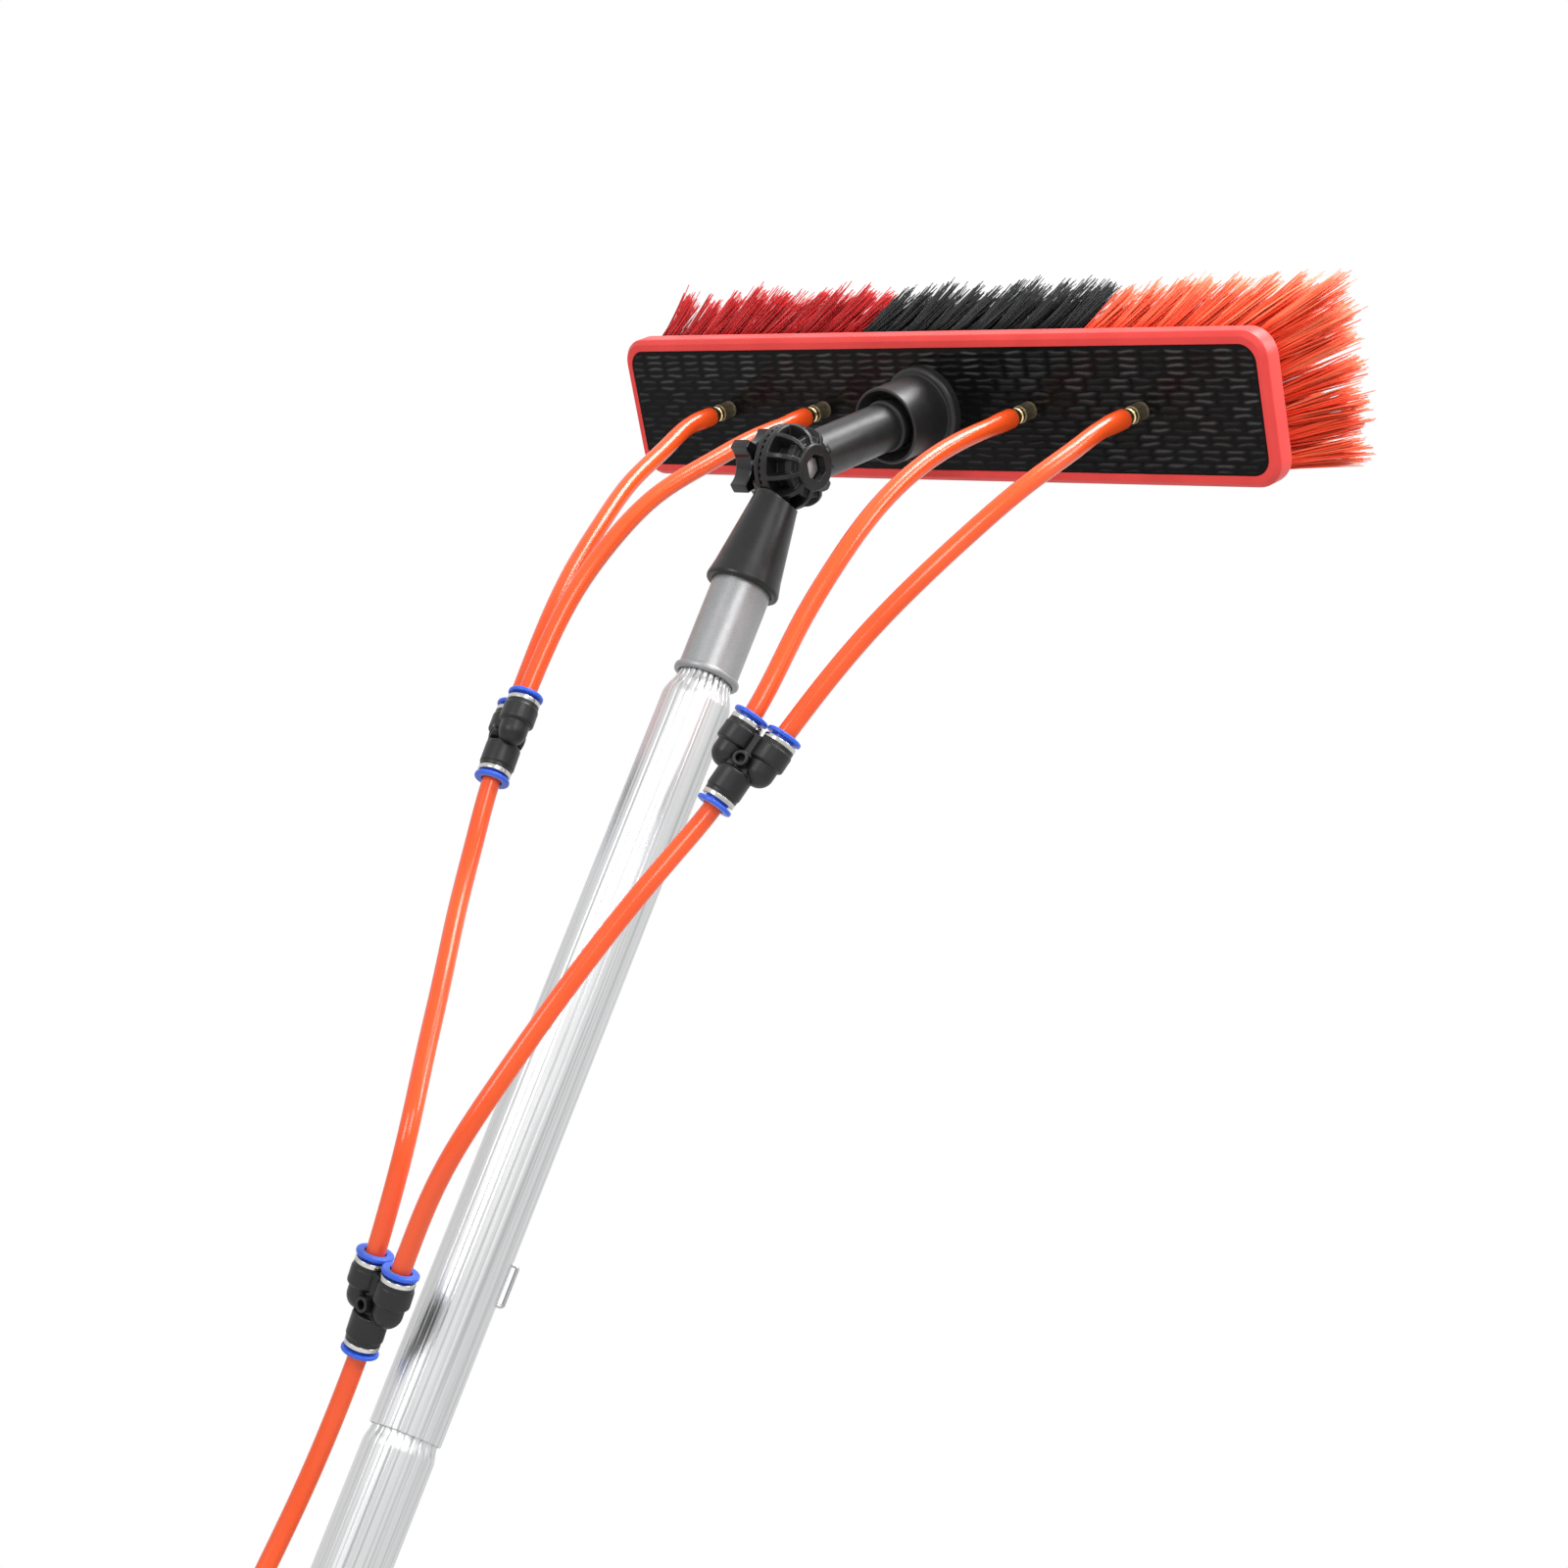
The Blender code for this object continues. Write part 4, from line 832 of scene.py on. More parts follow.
def make_near_half(finishes):
    """The finned half with the hexagon recess, and its stem into the brush."""
    disc = lathed([(0, NEAR_RIM), (DOME_R, NEAR_RIM, 0.0007), (DOME_R, JOINT_FACE),
                   (0, JOINT_FACE)], 120)
    core = cylinder(CORE_R, JOINT_FACE, RECESS_FLOOR, 72)
    foot = RECESS_FLOOR - 0.001
    rings = [circle(radius, z, 72, pi / 6) for radius, z in (
        (CORE_R, foot), (CORE_R, 0.0085), (0.0132, 0.0087), (0.0132, 0.0120), (HUB_R, 0.0124),
        (HUB_R, HUB_FACE - 0.0006), (HUB_R - 0.0006, HUB_FACE))]
    rings += [hexagon(RECESS_AF, z, 12) for z in (HUB_FACE, foot)]
    plates = fins(NEAR_RIM, HUB_FACE - 0.0012, JOINT_FACE)
    half = fused(joined(disc, core, skinned(rings, loop=True), plates), JOINT_VOXEL)
    teeth = tooth_ring(-TOOTH, 0.001, DOME_R - 0.0011, DOME_R - 0.0001)
    add_piece("upper_arm_finned", joined(half, teeth), finishes["black"], "brush_head", ["upper_arm"],
              HEAD @ along_x())

    stem = lathed([
        (0, 0), (STEM_R, 0), (STEM_R, -0.0634, 0.0004), (STEM_R - 0.0005, -0.0640, 0.0002),
        (STEM_R + 0.0008, -0.0645, 0.0006), (STEM_R + 0.0008, -0.0672, 0.0004), (STEM_R, -0.0676),
        (STEM_R, -STEM_END, 0.0008), (0, -STEM_END)])
    add_piece("upper_arm_stem", cut(stem, clearance(-JOINT_REACH, JOINT_FACE)), finishes["boss"],
              "brush_head", ["upper_arm"], HEAD)


def make_far_half(finishes):
    """The half on the pole, finned towards the knob, with its cone over the collar."""
    rim = TOOTH + 0.0001
    inner = DOME_R - 0.0014
    disc = lathed([(0, JOINT_FACE), (inner, JOINT_FACE), (inner, rim), (DOME_R, rim, 0.0003),
                   (DOME_R, FAR_RIM, 0.0006), (0, FAR_RIM)], 120)
    hub = lathed([(0, FAR_HALF), (HUB_R, FAR_HALF, 0.0006), (HUB_R, 0.0082), (0.0118, 0.0080),
                  (0.0118, 0.0030), (0, 0.0030)])
    half = fused(joined(disc, hub, fins(FAR_RIM, FAR_HALF - 0.0008, 0.0020)), JOINT_VOXEL)
    add_piece("lower_arm_finned", half, finishes["black"], "pole", ["lower_arm"],
              at(PIVOT) @ along_x(-1))

    foot = ARM_Z - PIVOT.z
    bore = COLLAR_R + GAP
    top_bore = COLLAR_TOP_R + GAP
    step = foot + 0.0156
    end = foot + 0.0336
    cone = lathed([
        (0, 0), (ARM_TOP_R, 0), (ARM_TOP_R, -DOME_R, 0.004),
        (ARM_LIP_R - 0.0012, foot + ARM_LIP, 0.002), (ARM_LIP_R, foot + 0.0016, 0.0008),
        (ARM_LIP_R - 0.0002, foot, 0.0008), (bore, foot, 0.0003), (bore, step), (top_bore, step),
        (top_bore, end), (0, end)])
    add_piece("lower_arm_cone", cut(cone, clearance(-rim, JOINT_REACH)), finishes["black"], "pole",
              ["lower_arm"], at(PIVOT))


def knob_outline(inset, height):
    """The star knob's outline: a circle with five round scallops."""
    points = []
    for step in range(KNOB_STEPS):
        turn = tau * step / KNOB_STEPS
        off = ((turn - KNOB_TURN) % (tau / KNOB_LOBES)) - pi / KNOB_LOBES
        reach = KNOB_R - inset
        inside = (SCALLOP_R + inset) ** 2 - (SCALLOP_CENTRE * sin(off)) ** 2
        if inside > 0:
            scallop = SCALLOP_CENTRE * cos(off) - sqrt(inside)
            share = min(max(0.5 + (reach - scallop) / (2 * SCALLOP_BLEND), 0.0), 1.0)
            reach = reach + (scallop - reach) * share - SCALLOP_BLEND * share * (1 - share)
        points.append((reach * cos(turn), reach * sin(turn), height))
    return points


def make_bolt_and_knob(finishes):
    """The hexagon bolt, its washer, and the star knob with its nut."""
    steel = finishes["steel"]
    head_top = HUB_FACE - BOLT_SUNK
    rings = [hexagon(BOLT_AF - 2 * inset, head_top - drop, 6)
             for inset, drop in ((0, 0.004), (0, 0.0006), (0.0003, 0.0002), (0.0010, 0))]
    shank = cylinder(BOLT_R, KNOB_X - 0.0091, head_top - 0.003, 32)
    add_piece("pivot_bolt_hexagon", joined(closed_loft(rings), shank), steel, "brush_head",
              ["pivot_bolt"], HEAD @ along_x())

    washer = lathed([(WASHER_R, 0, 0.0003), (WASHER_R, -WASHER, 0.0003), (BOLT_HOLE_R, -WASHER),
                     (BOLT_HOLE_R, 0)])
    add_piece("pivot_washer_plain", washer, steel, "pole", ["pivot_washer"],
              at(PIVOT + Vector((-FAR_HALF - GAP, 0, 0))) @ along_x())

    turns = [pi / 2 * step / 5 for step in range(6)]
    rings = [[(0, 0, 0)]]
    rings += [knob_outline(KNOB_EDGE * (1 - sin(turn)), KNOB_EDGE * (1 - cos(turn))) for turn in turns]
    rings += [knob_outline(KNOB_EDGE * (1 - cos(turn)), KNOB_LENGTH - KNOB_EDGE + KNOB_EDGE * sin(turn))
              for turn in turns]
    well = KNOB_LENGTH - KNOB_WELL
    half_side = KNOB_STEPS // 12
    for height in (KNOB_LENGTH, well):
        ring = hexagon(RECESS_AF, height, 2 * half_side)
        rings.append(ring[-half_side:] + ring[:-half_side])
    rings.append([(0, 0, well)])
    place = at(PIVOT + Vector((KNOB_X, 0, 0))) @ along_x(-1)
    add_piece("star_knob_five", skinned(rings), finishes["knob"], "knob", ["star_knob"], place)

    top = KNOB_LENGTH - 0.0007
    foot = top - NUT
    rings = [circle(BOLT_HOLE_R, z, 36, pi / 6) for z in (top, foot)]
    rings += [hexagon(BOLT_AF - inset, z, 6)
              for inset, z in ((0, foot), (0, top - 0.0004), (0.0007, top))]
    add_piece("knob_nut_hexagon", skinned(rings, loop=True), steel, "knob", ["knob_nut"], place)


# Brush head, in the face frame

def make_block(finishes):
    """The red block, its rim raised round the plate's recess."""
    rings = [rounded_outline(PLATE_HALF, PLATE_CORNER, grow, height)
             for grow, height in ((0.0002, -0.0019), (0.0002, -0.0003), (0.0005, 0.0))]
    profile = filleted([
        (0.0042, 0), (BLOCK_CHAMFER, 0, 0.0007), (0, -BLOCK_CHAMFER, 0.0012),
        (0, BLOCK_CHAMFER - BLOCK, 0.0010), (BLOCK_CHAMFER, -BLOCK, 0.0007), (0.004, -BLOCK)])
    rings += [rounded_outline(BLOCK_HALF, BLOCK_CORNER, -inset, height)
              for inset, height in profile[1:]]
    add_piece("brush_block_rounded", closed_loft(rings), finishes["red"], "brush_head",
              ["brush_block"], FACE)


def brick(x, y):
    """The plate's emboss, rows of rounded bricks: its rise and the painted highlight on its upper
    edges, 0 to 1.
    """
    row = y / BRICK_ROW + BRICK_ROW_FROM + BRICK_WAVER * sin(x * 410) * sin(y * 530)
    index = int(row)
    across = row - index
    shifted = index % 4 in (0, 3) and y < BRICK_SHIFT_Y
    along = x / BRICK_LENGTH + BRICK_FROM + (0.5 if shifted else 0.0)
    part = along - int(along)
    end = min(part, 1 - part)
    # The painted highlight's strength differs from brick to brick, and the emboss is crisper toward the
    # plate's top and right end
    painted_highlight_strength = 0.5 + 0.5 * sin(index * 12.9 + int(along) * 78.2)
    crisp = min(1.0, 0.35 + 0.65 * eased(y, 0.003, 0.019) + 0.60 * eased(x, 0.02, 0.14))
    edge = (1 - eased(across, 0.80, 1.0)) * crisp
    rise = eased(end, 0.0, 0.18) * eased(across, 0.05, 0.74) * edge
    # The second value is the painted highlight on the brick's upper edge.
    return rise, eased(end, 0.04, 0.30) * eased(across, 0.46, 0.74) * edge * (0.20 + 0.80 * painted_highlight_strength)


def boundary(bm):
    return [edge for edge in bm.edges if edge.is_boundary]


def make_plate(finishes):
    """The black plate with its emboss, raised as real bumps."""
    half_x, half_y = PLATE_HALF
    columns, rows = PLATE_GRID
    bm = bmesh.new()
    tone_and_painted_light = bm.verts.layers.float.new("tone_and_painted_light")
    grid = []
    for row in range(rows + 1):
        y = half_y * (2 * row / rows - 1)
        into = max(0.0, abs(y) - (half_y - PLATE_CORNER))
        reach = half_x - PLATE_CORNER + sqrt(max(PLATE_CORNER ** 2 - into ** 2, 0.0))
        line = []
        for column in range(columns + 1):
            x = reach * (2 * column / columns - 1)
            inside = eased(min(reach - abs(x), half_y - abs(y)), *PLATE_MARGIN)
            rise, painted_highlight = brick(x, y)
            vert = bm.verts.new((x, y, BRICK_RISE * rise * inside - PLATE_SUNK))
            # Each point stores the painted highlight on the bricks' upper edges.
            vert[tone_and_painted_light] = painted_highlight * inside
            line.append(vert)
        grid.append(line)
    for low, high in zip(grid, grid[1:]):
        for column in range(columns):
            bm.faces.new((low[column], low[column + 1], high[column + 1], high[column]))
    for item in bmesh.ops.extrude_edge_only(bm, edges=boundary(bm))["geom"]:
        if isinstance(item, bmesh.types.BMVert):
            item.co.z = -PLATE
    bmesh.ops.contextual_create(bm, geom=boundary(bm))
    add_piece("back_plate_embossed", bm, finishes["panel"], "brush_head", ["back_plate"], FACE)


def make_socket(finishes):
    """The boss that takes the stem, flared at its foot and lipped at its mouth."""
    mouth = SOCKET_RISE
    foot = GAP - 0.0006
    socket = lathed([
        (0, SOCKET_FLOOR), (SOCKET_BORE_R, SOCKET_FLOOR), (SOCKET_BORE_R, mouth - 0.0056),
        (0.0126, mouth - 0.0050, 0.0006), (0.0154, mouth - 0.0014, 0.0012), (0.0162, mouth, 0.0005),
        (SOCKET_R, mouth, 0.0008), (SOCKET_R, 0.0054, 0.0002), (SOCKET_R - 0.0004, 0.0048, 0.0003),
        (SOCKET_R + 0.0004, 0.0045, 0.0003), (SOCKET_FLARE_R - 0.0004, 0.0042, 0.0021),
        (SOCKET_FLARE_R, foot), (0, foot)], 120, steps=7)
    add_piece("handle_socket_lipped", socket, finishes["boss"], "brush_head", ["handle_socket"], FACE)


def make_jets(finishes):
    """Each jet: a knurled body, a grooved ring and a tail through the brush."""
    def knurl(turn, radius, height):
        knurled = 0.0009 < height < JET_BODY - 0.0008 and radius > JET_RING_R
        return radius - KNURL * (0.5 + 0.5 * cos(KNURLS * turn)) * knurled

    body = lathed([
        (0, JET_BODY), (JET_BODY_R, JET_BODY, 0.0003), (JET_BODY_R, JET_BODY - 0.0007),
        (JET_BODY_R, JET_BODY - 0.0009), (JET_BODY_R, 0.0010), (JET_BODY_R, 0.0008),
        (JET_BODY_R, 0.0), (JET_TAIL_R, 0.0), (JET_TAIL_R, -JET_TAIL, 0.0004), (0, -JET_TAIL)],
        KNURLS * 6, knurl)
    ring = lathed([
        (0, JET_RISE), (JET_RING_R, JET_RISE, 0.0003), (JET_RING_R, 0.0107, 0.0003),
        (JET_GROOVE_R, 0.0104, 0.0002), (JET_GROOVE_R, 0.0098, 0.0002), (JET_RING_R, 0.0095, 0.0003),
        (JET_RING_R, 0.0070), (0, 0.0070)], 48)
    brass, polished = finishes["brass"], finishes["brass_ring"]
    body_mesh = finished_mesh("jet_body", body, brass)
    ring_mesh = finished_mesh("jet_ring", ring, polished)
    for number, place in enumerate(JET_PLACES, 1):
        jet = f"jet_{number}"
        spot = FACE @ at((place, 0, 0))
        add_piece(jet + "_body", body_mesh, brass, "brush_head", [jet], spot)
        add_piece(jet + "_ring", ring_mesh, polished, "brush_head", [jet], spot)


def make_bristles(finishes):
    """Tufts of fine filaments in three fields, red with painted shade, black, and red with painted
    light, leaning out to the brush's ends and sides.
    """
    draw = np.random.default_rng(BRISTLE_SEED)
    fields = {"bristles_red_left": [], "bristles_black": [], "bristles_red_right": []}
    names = list(fields)
    for column in range(TUFT_COLUMNS):
        x = TUFT_PITCH * (column - (TUFT_COLUMNS - 1) / 2)
        name = names[sum(x > end for end in TUFT_COLOUR_ENDS)]
        for row in range(TUFT_ROWS):
            y = TUFT_ROW_PITCH * (row - (TUFT_ROWS - 1) / 2)
            if min(np.hypot(x - place, y) for place in JET_PLACES) > TUFT_JET_CLEAR:
                fields[name].append((x, y))
    for name, tufts in fields.items():
        mesh = tuft_mesh(name, np.array(tufts), draw)
        mesh.materials.append(finishes[name].material)
        add_piece(name + "_tufts", mesh, finishes[name], "brush_head", [name], FACE)


def tuft_mesh(name, tufts, draw):
    """All filaments of some tufts as one mesh: each three-sided, bent and tapered to its tip."""
    half_x = TUFT_PITCH * (TUFT_COLUMNS - 1) / 2
    half_y = TUFT_ROW_PITCH * (TUFT_ROWS - 1) / 2
    count = len(tufts) * FILAMENTS
    spots = np.repeat(tufts, FILAMENTS, axis=0)
    turn = draw.uniform(0, tau, count)
    out = np.sqrt(draw.uniform(0, 1, count))
    spread = np.column_stack([np.cos(turn), np.sin(turn)]) * out[:, None]
    sway = np.repeat(draw.normal(0, TUFT_SWAY, (len(tufts), 2)), FILAMENTS, axis=0)
    ends = spots[:, 0] / half_x
    lean = np.column_stack([TUFT_END_LEAN * ends * np.abs(ends) ** 3,
                            TUFT_LIFT + TUFT_SIDE_LEAN * spots[:, 1] / half_y])
    depth = TUFT_TRIM + draw.normal(0, TRIM_SPREAD, count) - TRIM_ROUND * out ** 2
    roots = spots + spread * TUFT_ROOT_R
    tips = spots + lean * depth[:, None] + spread * TUFT_TIP_R + sway
    tips = tips + draw.normal(0, TIP_SPREAD, (count, 2))
    thick = FILAMENT_R * draw.uniform(*FILAMENT_R_RANGE, count)
    corners = np.array([[cos(tau * side / 3), sin(tau * side / 3)] for side in range(3)])
    bow = draw.normal(0, FILAMENT_BOW, (count, 2))
    verts = np.zeros((count, 4, 3, 3))
    for index, (share, width) in enumerate(zip(STATION_SHARES, STATION_WIDTHS)):
        middle = roots + (tips - roots) * (share ** FILAMENT_CURVE) + bow * sin(pi * share)
        verts[:, index, :, :2] = middle[:, None] + (thick * width)[:, None, None] * corners
        verts[:, index, :, 2] = (-BLOCK + TUFT_SUNK - (depth + TUFT_SUNK) * share)[:, None]
    faces = []
    for start in range(0, count * 12, 12):
        for low in (start, start + 3, start + 6):
            for side, after in ((0, 1), (1, 2), (2, 0)):
                faces.append((low + after, low + side, low + side + 3, low + after + 3))
        faces.append((start + 11, start + 10, start + 9))
        faces.append((start, start + 1, start + 2))
    mesh = bpy.data.meshes.new(name)
    mesh.from_pydata(verts.reshape(-1, 3), [], faces)
    tone_and_painted_light = mesh.attributes.new("tone_and_painted_light", "FLOAT", "POINT")
    # Random tone for each filament, plus painted shade toward its root and painted light toward its
    # tip.
    base = np.clip(draw.normal(TINT_MEAN, TINT_SPREAD, count), 0, 1)
    light = np.array(STATION_PAINTED_SHADE_AND_LIGHT)
    values = np.clip(base[:, None, None] + light[None, :, None] + np.zeros((count, 4, 3)), 0, 1)
    tone_and_painted_light.data.foreach_set("value", values.astype(np.float32).ravel())
    mesh.shade_smooth()
    return mesh


# Wye fittings

def wye_barrel(length):
    """A barrel on Z, stepped near its ring and softened at its foot."""
    foot = WYE_END - length
    return lathed([
        (0, WYE_END), (WYE_BARREL_R - 0.0005, WYE_END, 0.0002),
        (WYE_BARREL_R - 0.0004, WYE_END - 0.0018), (WYE_BARREL_R, WYE_END - 0.0024, 0.0003),
        (WYE_BARREL_R, foot + 0.0006, 0.0012), (WYE_BARREL_R - 0.0016, foot, 0.0006), (0, foot)], 48)


def wye_mesh(finish):
    """One moulding: two barrels above, one below, round elbows, legs and the pin boss."""
    parts = [(wye_barrel(WYE_LOWER_BARREL), UPSIDE_DOWN)]
    low_top = Vector((0, 0, WYE_LOWER_BARREL - WYE_END - 0.001))
    for side in (-1, 1):
        spot = Vector((side * WYE_ARM_X, 0, WYE_ELBOW_Z))
        way = low_top - spot
        ball = bmesh.new()
        bmesh.ops.create_uvsphere(ball, u_segments=32, v_segments=20, radius=WYE_ELBOW_R)
        parts += [(wye_barrel(WYE_UPPER_BARREL), at((spot.x, 0, 0))), (ball, at(spot)),
                  (cylinder(WYE_ELBOW_R, 0, 0.006, 32), at(spot)),
                  (cylinder(WYE_LEG_R, 0, way.length, 32), axes_matrix(spot, way, (0, 1, 0)))]
    middle = at((0, 0, WYE_ELBOW_Z))
    web = bmesh.new()
    bmesh.ops.create_cube(web, size=1.0)
    parts += [(cylinder(WYE_LEG_R, -0.010, 0, 32), middle),
              (web, at((0, 0, WYE_WEB_Z)) @ Matrix.Diagonal((*WYE_WEB, 1)))]
    body = fused(joined(*(moved(*part) for part in parts)), WYE_VOXEL)
    half = WYE_BOSS_LENGTH / 2
    tubes = []
    for side in (-1, 1):
        tube = lathed([
            (0, 0.0030), (WYE_BOSS_HOLE_R, 0.0030), (WYE_BOSS_HOLE_R, half, 0.0003),
            (WYE_BOSS_R, half, 0.0004), (WYE_BOSS_R, 0), (0, 0)], 40)
        tubes.append(moved(tube, middle @ Matrix.Rotation(side * pi / 2, 4, "X")))
    return finished_mesh("wye", joined(body, *tubes), finish)


def make_wyes(finishes):
    """The three fittings; returns each port's matrix, Z outward, and each fitting's pieces."""
    wye, nickel, blue = finishes["wye"], finishes["nickel"], finishes["blue"]
    moulding = wye_mesh(wye)
    inner = COLLET_SLEEVE_R + GAP
    ring = finished_mesh("ring", lathed([
        (RING_R, RING_Z + RING, 0.0005), (RING_R, RING_Z - 0.0004, 0.0002), (inner, RING_Z - 0.0004),
        (inner, RING_Z + RING, 0.0003)], 56), nickel)
    sleeve_end = PORT_FACE - COLLET_DEPTH
    collet = finished_mesh("collet", lathed([
        (COLLET_R, PORT_FACE, 0.0007), (COLLET_R, COLLET_Z, 0.0006),
        (COLLET_SLEEVE_R, COLLET_Z, 0.0002), (COLLET_SLEEVE_R, sleeve_end),
        (COLLET_BORE_R, sleeve_end), (COLLET_BORE_R, PORT_FACE, 0.0005)], 56), blue)
    ports = {}
    pieces = {}
    for side, (middle, up, across) in WYES.items():
        name = f"wye_{side}_"
        place = axes_matrix(PIVOT + Vector(middle), up, across)
        pieces[side] = [add_piece(name + "moulding", moulding, wye, "pole", [name + "body"], place)]
        for number, port in enumerate((at((-WYE_ARM_X, 0, 0)), at((WYE_ARM_X, 0, 0)), UPSIDE_DOWN), 1):
            spot = place @ port
            ports[side, number] = spot
            for part, mesh, finish, body, node in (
                    ("ferrule", ring, nickel, "pole", "ring"),
                    ("release", collet, blue, f"collet_{side}_{number}", "collet")):
                pieces[side].append(add_piece(f"{name}{part}_{number}", mesh, finish, body,
                                              [f"{name}{node}_{number}"], spot))
    return ports, pieces


# Hoses

def arc_lengths(points):
    """How far along a path each of its points lies."""
    steps = np.linalg.norm(np.diff(np.array(points), axis=0), axis=1)
    return np.concatenate(([0], np.cumsum(steps)))


def spline_samples(knots, first_way, last_way):
    """Evenly spaced points on a cubic curve through the knots, with its first and last ways given."""
    knots = np.array(knots, float)
    chords = np.linalg.norm(np.diff(knots, axis=0), axis=1)
    count = len(knots)
    matrix = np.eye(count)
    right = np.zeros((count, 3))
    right[0] = first_way
    right[-1] = last_way
    for index in range(1, count - 1):
        before, after = chords[index - 1], chords[index]
        matrix[index, index - 1:index + 2] = (after, 2 * (before + after), before)
        right[index] = 3 * (after * (knots[index] - knots[index - 1]) / before
                            + before * (knots[index + 1] - knots[index]) / after)
    slopes = np.linalg.solve(matrix, right)
    dense = []
    for index, chord in enumerate(chords):
        for part in np.linspace(0, 1, CURVE_POINTS, endpoint=index == count - 2):
            rest = 1 - part
            dense.append((1 + 2 * part) * rest ** 2 * knots[index]
                         + part * rest ** 2 * chord * slopes[index]
                         + part ** 2 * (3 - 2 * part) * knots[index + 1]
                         - part ** 2 * rest * chord * slopes[index + 1])
    dense = np.array(dense)
    run = arc_lengths(dense)
    stations = np.linspace(0, run[-1], max(2, round(run[-1] / HOSE_STEP) + 1))
    return np.column_stack([np.interp(stations, run, dense[:, axis]) for axis in range(3)])


def hose_path(start, start_way, route, end, end_way, start_straight, end_straight, leans):
    """A hose's points: straight out of its start, smooth through its route, straight into its end.

    Past each straight length it leans toward its route by a share of the turn.
    """
    start, start_way, end, end_way = map(Vector, (start, start_way, end, end_way))
    first = start + start_way * start_straight
    last = end - end_way * end_straight
    knots = [first, *(PIVOT + Vector(point) for point in route), last]
    leave = start_way.lerp((knots[1] - first).normalized(), leans[0]).normalized()
    arrive = end_way.lerp((last - knots[-2]).normalized(), leans[1]).normalized()
    out = [start.lerp(first, share) for share in (0, 0.04, 0.09, 0.16, 0.35, 0.55, 0.8)]
    home = [last.lerp(end, share) for share in (0.25, 0.5, 0.75, 1)]
    return [tuple(point) for point in (*out, *spline_samples(knots, leave, arrive), *home)]


def port_end(port):
    """Where a hose ends inside a port, and the way that it leaves the port."""
    way = port.to_3x3() @ Vector((0, 0, 1))
    return port.translation + way * (PORT_FACE - HOSE_IN_PORT), way


def add_hose(name, path, finish, body, barb=False, more=()):
    """A hose along a path, swollen over the barb at its start where it has one."""
    radii = np.full(len(path), HOSE_R)
    if barb:
        radii += [BARB_SWELL * (1 - eased(place, *BARB_ENDS))
                  - LIP_TUCK * (1 - place / LIP) ** 2 * (place < LIP) for place in arc_lengths(path)]
    return add_piece(name + "_tube", swept(path, radii, HOSE_SIDES), finish, body, [name, *more])


def coil_points():
    """The coil's turns: in on the upper layer, down in half a turn, out on the lower layer."""
    centre = Vector((*COIL_CENTRE, 0))
    points = []
    for step in range(COIL_TURNS * COIL_POINTS + 1):
        done = step / COIL_POINTS - COIL_TURNS / 2
        radius = COIL_INNER_R + COIL_PITCH * abs(done)
        height = COIL_HIGH_Z - COIL_PITCH * eased(done, -COIL_DROP, COIL_DROP)
        turn = -pi / 2 - tau * done
        points.append(centre + Vector((radius * cos(turn), radius * sin(turn), height)))
    lead = Vector((COIL_LEAD, 0, 0))
    first = [points[0] + lead * share for share in (1, 0.66, 0.33)]
    last = [points[-1] - lead * share for share in (0.33, 0.66, 1)]
    return [tuple(point) for point in (*first, *points, *last)]


def make_jet_hoses(finishes, ports):
    """The jets' hoses, from the jets past the tilting joint to the upper wyes' ports."""
    out_of_jet = FACE.to_3x3() @ Vector((0, 0, 1))
    for number, (place, route, port) in enumerate(zip(JET_PLACES, JET_ROUTES, JET_PORTS), 1):
        start = FACE @ Vector((place, 0, JET_RISE - 0.001))
        end, way = port_end(ports[port])
        path = hose_path(start, out_of_jet, route, end, -way, JET_STRAIGHT, PORT_STRAIGHT,
                         (0, HOSE_LEAN))
        hose = add_hose(f"jet_hose_{number}", path, finishes["hose"], None, barb=True)
        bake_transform(hose)


def make_lower_hoses(finishes, ports):
    """The branch hoses, and the supply hose into its coil; the pole doesn't mirror them."""
    for number, (side, route) in enumerate(BRANCH_ROUTES.items(), 1):
        start, leave = port_end(ports[side, 3])
        end, way = port_end(ports["lower", number])
        path = hose_path(start, leave, route, end, -way, PORT_STRAIGHT, PORT_STRAIGHT,
                         (HOSE_LEAN, HOSE_LEAN))
        hose = add_hose(f"branch_hose_{side}", path, finishes["hose"], "pole")
        hose.visible_glossy = False
    start, leave = port_end(ports["lower", 3])
    coil = coil_points()
    path = hose_path(start, leave, SUPPLY_ROUTE, coil[0], (-1, 0, 0), PORT_STRAIGHT, HOSE_STRAIGHT,
                     (HOSE_LEAN, 0))
    path += coil[1:]
    hose = add_hose("supply_hose", path, finishes["hose"], "pole", more=["hose_coil"])
    hose.visible_glossy = False
    tie = make_tie(finishes)
    connector = make_connector(finishes, Vector(coil[-1]))


def make_tie(finishes):
    """The strap round the coil."""
    low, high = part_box("coil_tie")
    half = (high - low) / 2
    width = half.x
    edge = 0.0003
    fold = 0.0002
    rings = [rounded_outline((half.y, half.z), TIE_CORNER, grow, across) for grow, across in (
        (0, -width + edge), (0, width - edge), (-edge, width), (-TIE + fold, width),
        (-TIE, width - fold), (-TIE, -width + fold), (-TIE + fold, -width), (-edge, -width))]
    return add_piece("coil_tie_strap", skinned(rings, loop=True), finishes["black"], "pole",
                     ["coil_tie"], axes_matrix((low + high) / 2, (1, 0, 0), (0, 1, 0)))


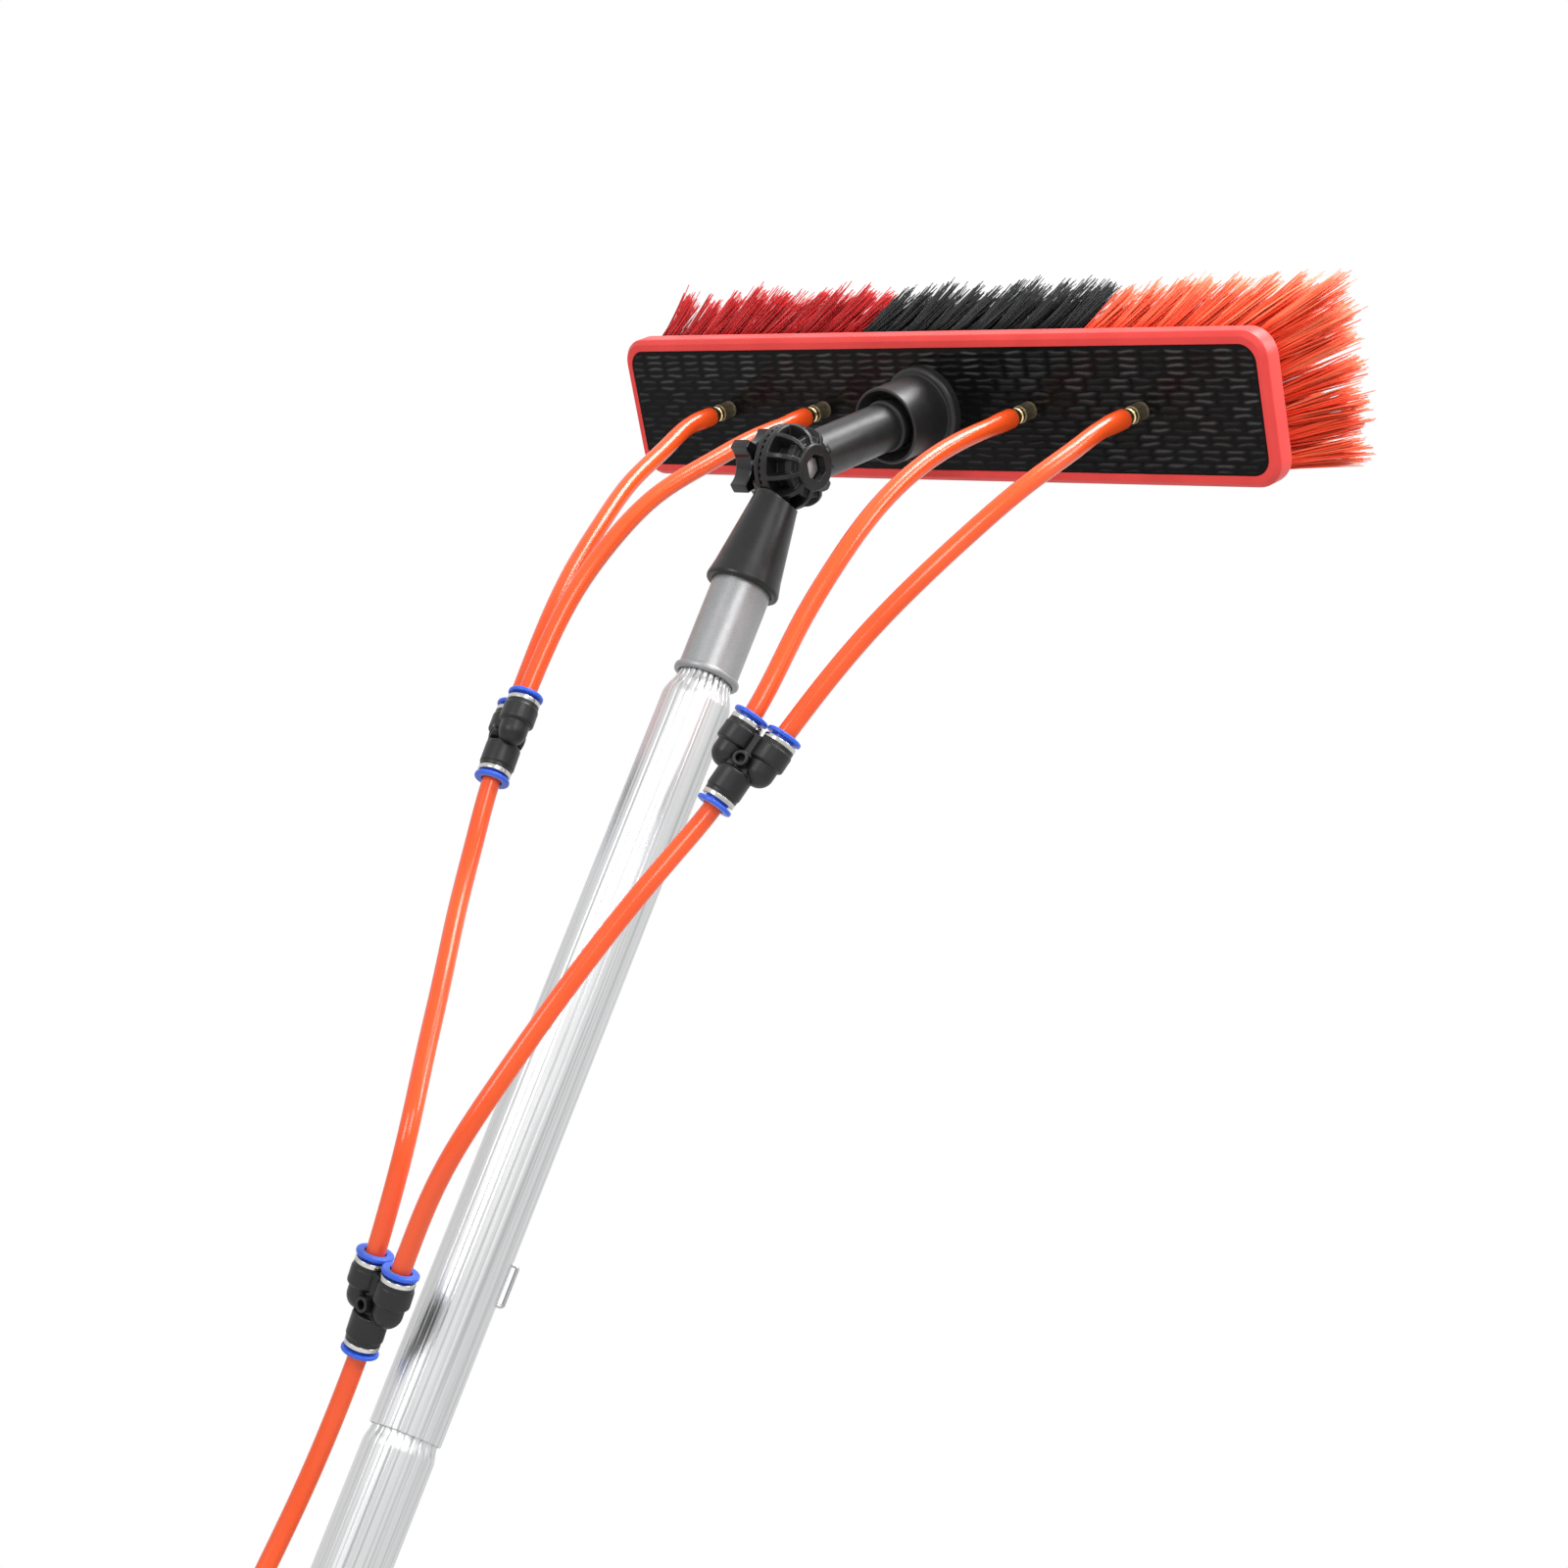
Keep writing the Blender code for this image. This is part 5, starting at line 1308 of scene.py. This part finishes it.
def make_connector(finishes, tip):
    """The brass plug on the supply hose's end."""
    turnings = lathed([
        (0, 0.038), (0.0022, 0.038, 0.0003), (0.0032, 0.038, 0.0004), (0.004, 0.0368, 0.0004),
        (0.004, 0.0350, 0.0003), (0.0030, 0.0338, 0.0003), (0.0030, 0.0316, 0.0003),
        (0.004, 0.0304, 0.0003), (0.004, 0.0195), (0.005, 0.0195), (0.005, 0.0125),
        (0.005, 0.0120, 0.0003), (0.005, 0.0020, 0.0004), (0.0046, 0.0, 0.0003), (0, 0.0)], 48)
    rings = [hexagon(0.010 - 2 * inset, z, 6)
             for inset, z in ((0.0004, 0.012), (0, 0.0125), (0, 0.0195), (0.0004, 0.020))]
    plug = joined(turnings, closed_loft(rings))
    return add_piece("inlet_connector_plug", plug, finishes["brass_ring"], "pole",
                     ["inlet_connector"], at(tip - Vector((GAP, 0, 0))) @ along_x(-1))


# Camera, light and floor

def make_camera():
    """The camera at the photograph's view; returns its matrix."""
    right, up = Vector(CAMERA_RIGHT), Vector(CAMERA_UP)
    camera = linked("camera", bpy.data.cameras.new("camera"))
    camera.data.sensor_width = CAMERA_SENSOR
    camera.data.lens = CAMERA_LENS
    camera.data.clip_start, camera.data.clip_end = CAMERA_CLIP
    matrix = Matrix((right, up, right.cross(up))).transposed().to_4x4()
    matrix.translation = Vector(CAMERA_PLACE)
    camera.matrix_world = matrix
    bpy.context.scene.camera = camera
    return matrix


def background_rays(tree):
    """1 for the rays that show the background: the camera's, and those off gloss or through glass."""
    rays = tree.nodes.new("ShaderNodeLightPath").outputs
    shown = rays["Is Camera Ray"]
    for kind in ("Is Glossy Ray", "Is Transmission Ray"):
        either = tree.nodes.new("ShaderNodeMath")
        either.operation = "MAXIMUM"
        tree.links.new(shown, either.inputs[0])
        tree.links.new(rays[kind], either.inputs[1])
        shown = either.outputs["Value"]
    return shown


def make_light(camera):
    """Softboxes about the camera, and a white world behind the object."""
    for name, (offset, size, power) in LAMPS.items():
        lamp = linked(name, bpy.data.lights.new(name, "AREA"))
        lamp.data.size = size
        lamp.data.energy = power
        lamp.visible_camera = False
        place = PIVOT + camera.to_3x3() @ Vector(offset)
        lamp.location = place
        lamp.rotation_mode = "QUATERNION"
        lamp.rotation_quaternion = (PIVOT - place).to_track_quat("-Z", "Y")
    world = bpy.data.worlds.new("studio")
    bpy.context.scene.world = world
    world.use_nodes = True
    tree = world.node_tree
    white = (1, 1, 1, 1)
    seen = tree.nodes["Background"]
    seen.inputs["Color"].default_value = white
    seen.inputs["Strength"].default_value = 1.0
    lighting = add_node(tree, "Background", "Background", Color=white, Strength=WORLD_LIGHT)
    mix = tree.nodes.new("ShaderNodeMixShader")
    tree.links.new(background_rays(tree), mix.inputs["Fac"])
    tree.links.new(lighting, mix.inputs[1])
    tree.links.new(seen.outputs["Background"], mix.inputs[2])
    tree.links.new(mix.outputs["Shader"], tree.nodes["World Output"].inputs["Surface"])


def make_floor():
    """A wide pale floor that the end cap stands on."""
    bm = bmesh.new()
    bmesh.ops.create_circle(bm, cap_ends=True, segments=96, radius=FLOOR_R)
    finish = Finish("pale_floor", None, (0.62, 0.62, 0.62), 0.9, Emission_Color=(1, 1, 1, 1))
    finish.colours(finish.noise(3, 4.0), (0.3, (0.61, 0.61, 0.61)), (0.7, (0.63, 0.63, 0.63)))
    finish.spread("Emission Strength", background_rays(finish.tree), 0.0, FLOOR_GLOW, 0.0, 1.0)
    floor = linked("floor", finished_mesh("floor", bm, finish))
    floor.location.z = FLOOR_Z


def main():
    bpy.context.scene.view_settings.view_transform = "Standard"
    finishes = make_finishes()
    camera = make_camera()
    ports, pieces = make_wyes(finishes)
    make_jet_hoses(finishes, ports)
    make_lower_hoses(finishes, ports)
    for make in (make_pole, make_clip, make_collar, make_near_half, make_far_half, make_bolt_and_knob,
                 make_block, make_plate, make_socket, make_jets, make_bristles):
        make(finishes)
    make_light(camera)
    make_floor()


main()
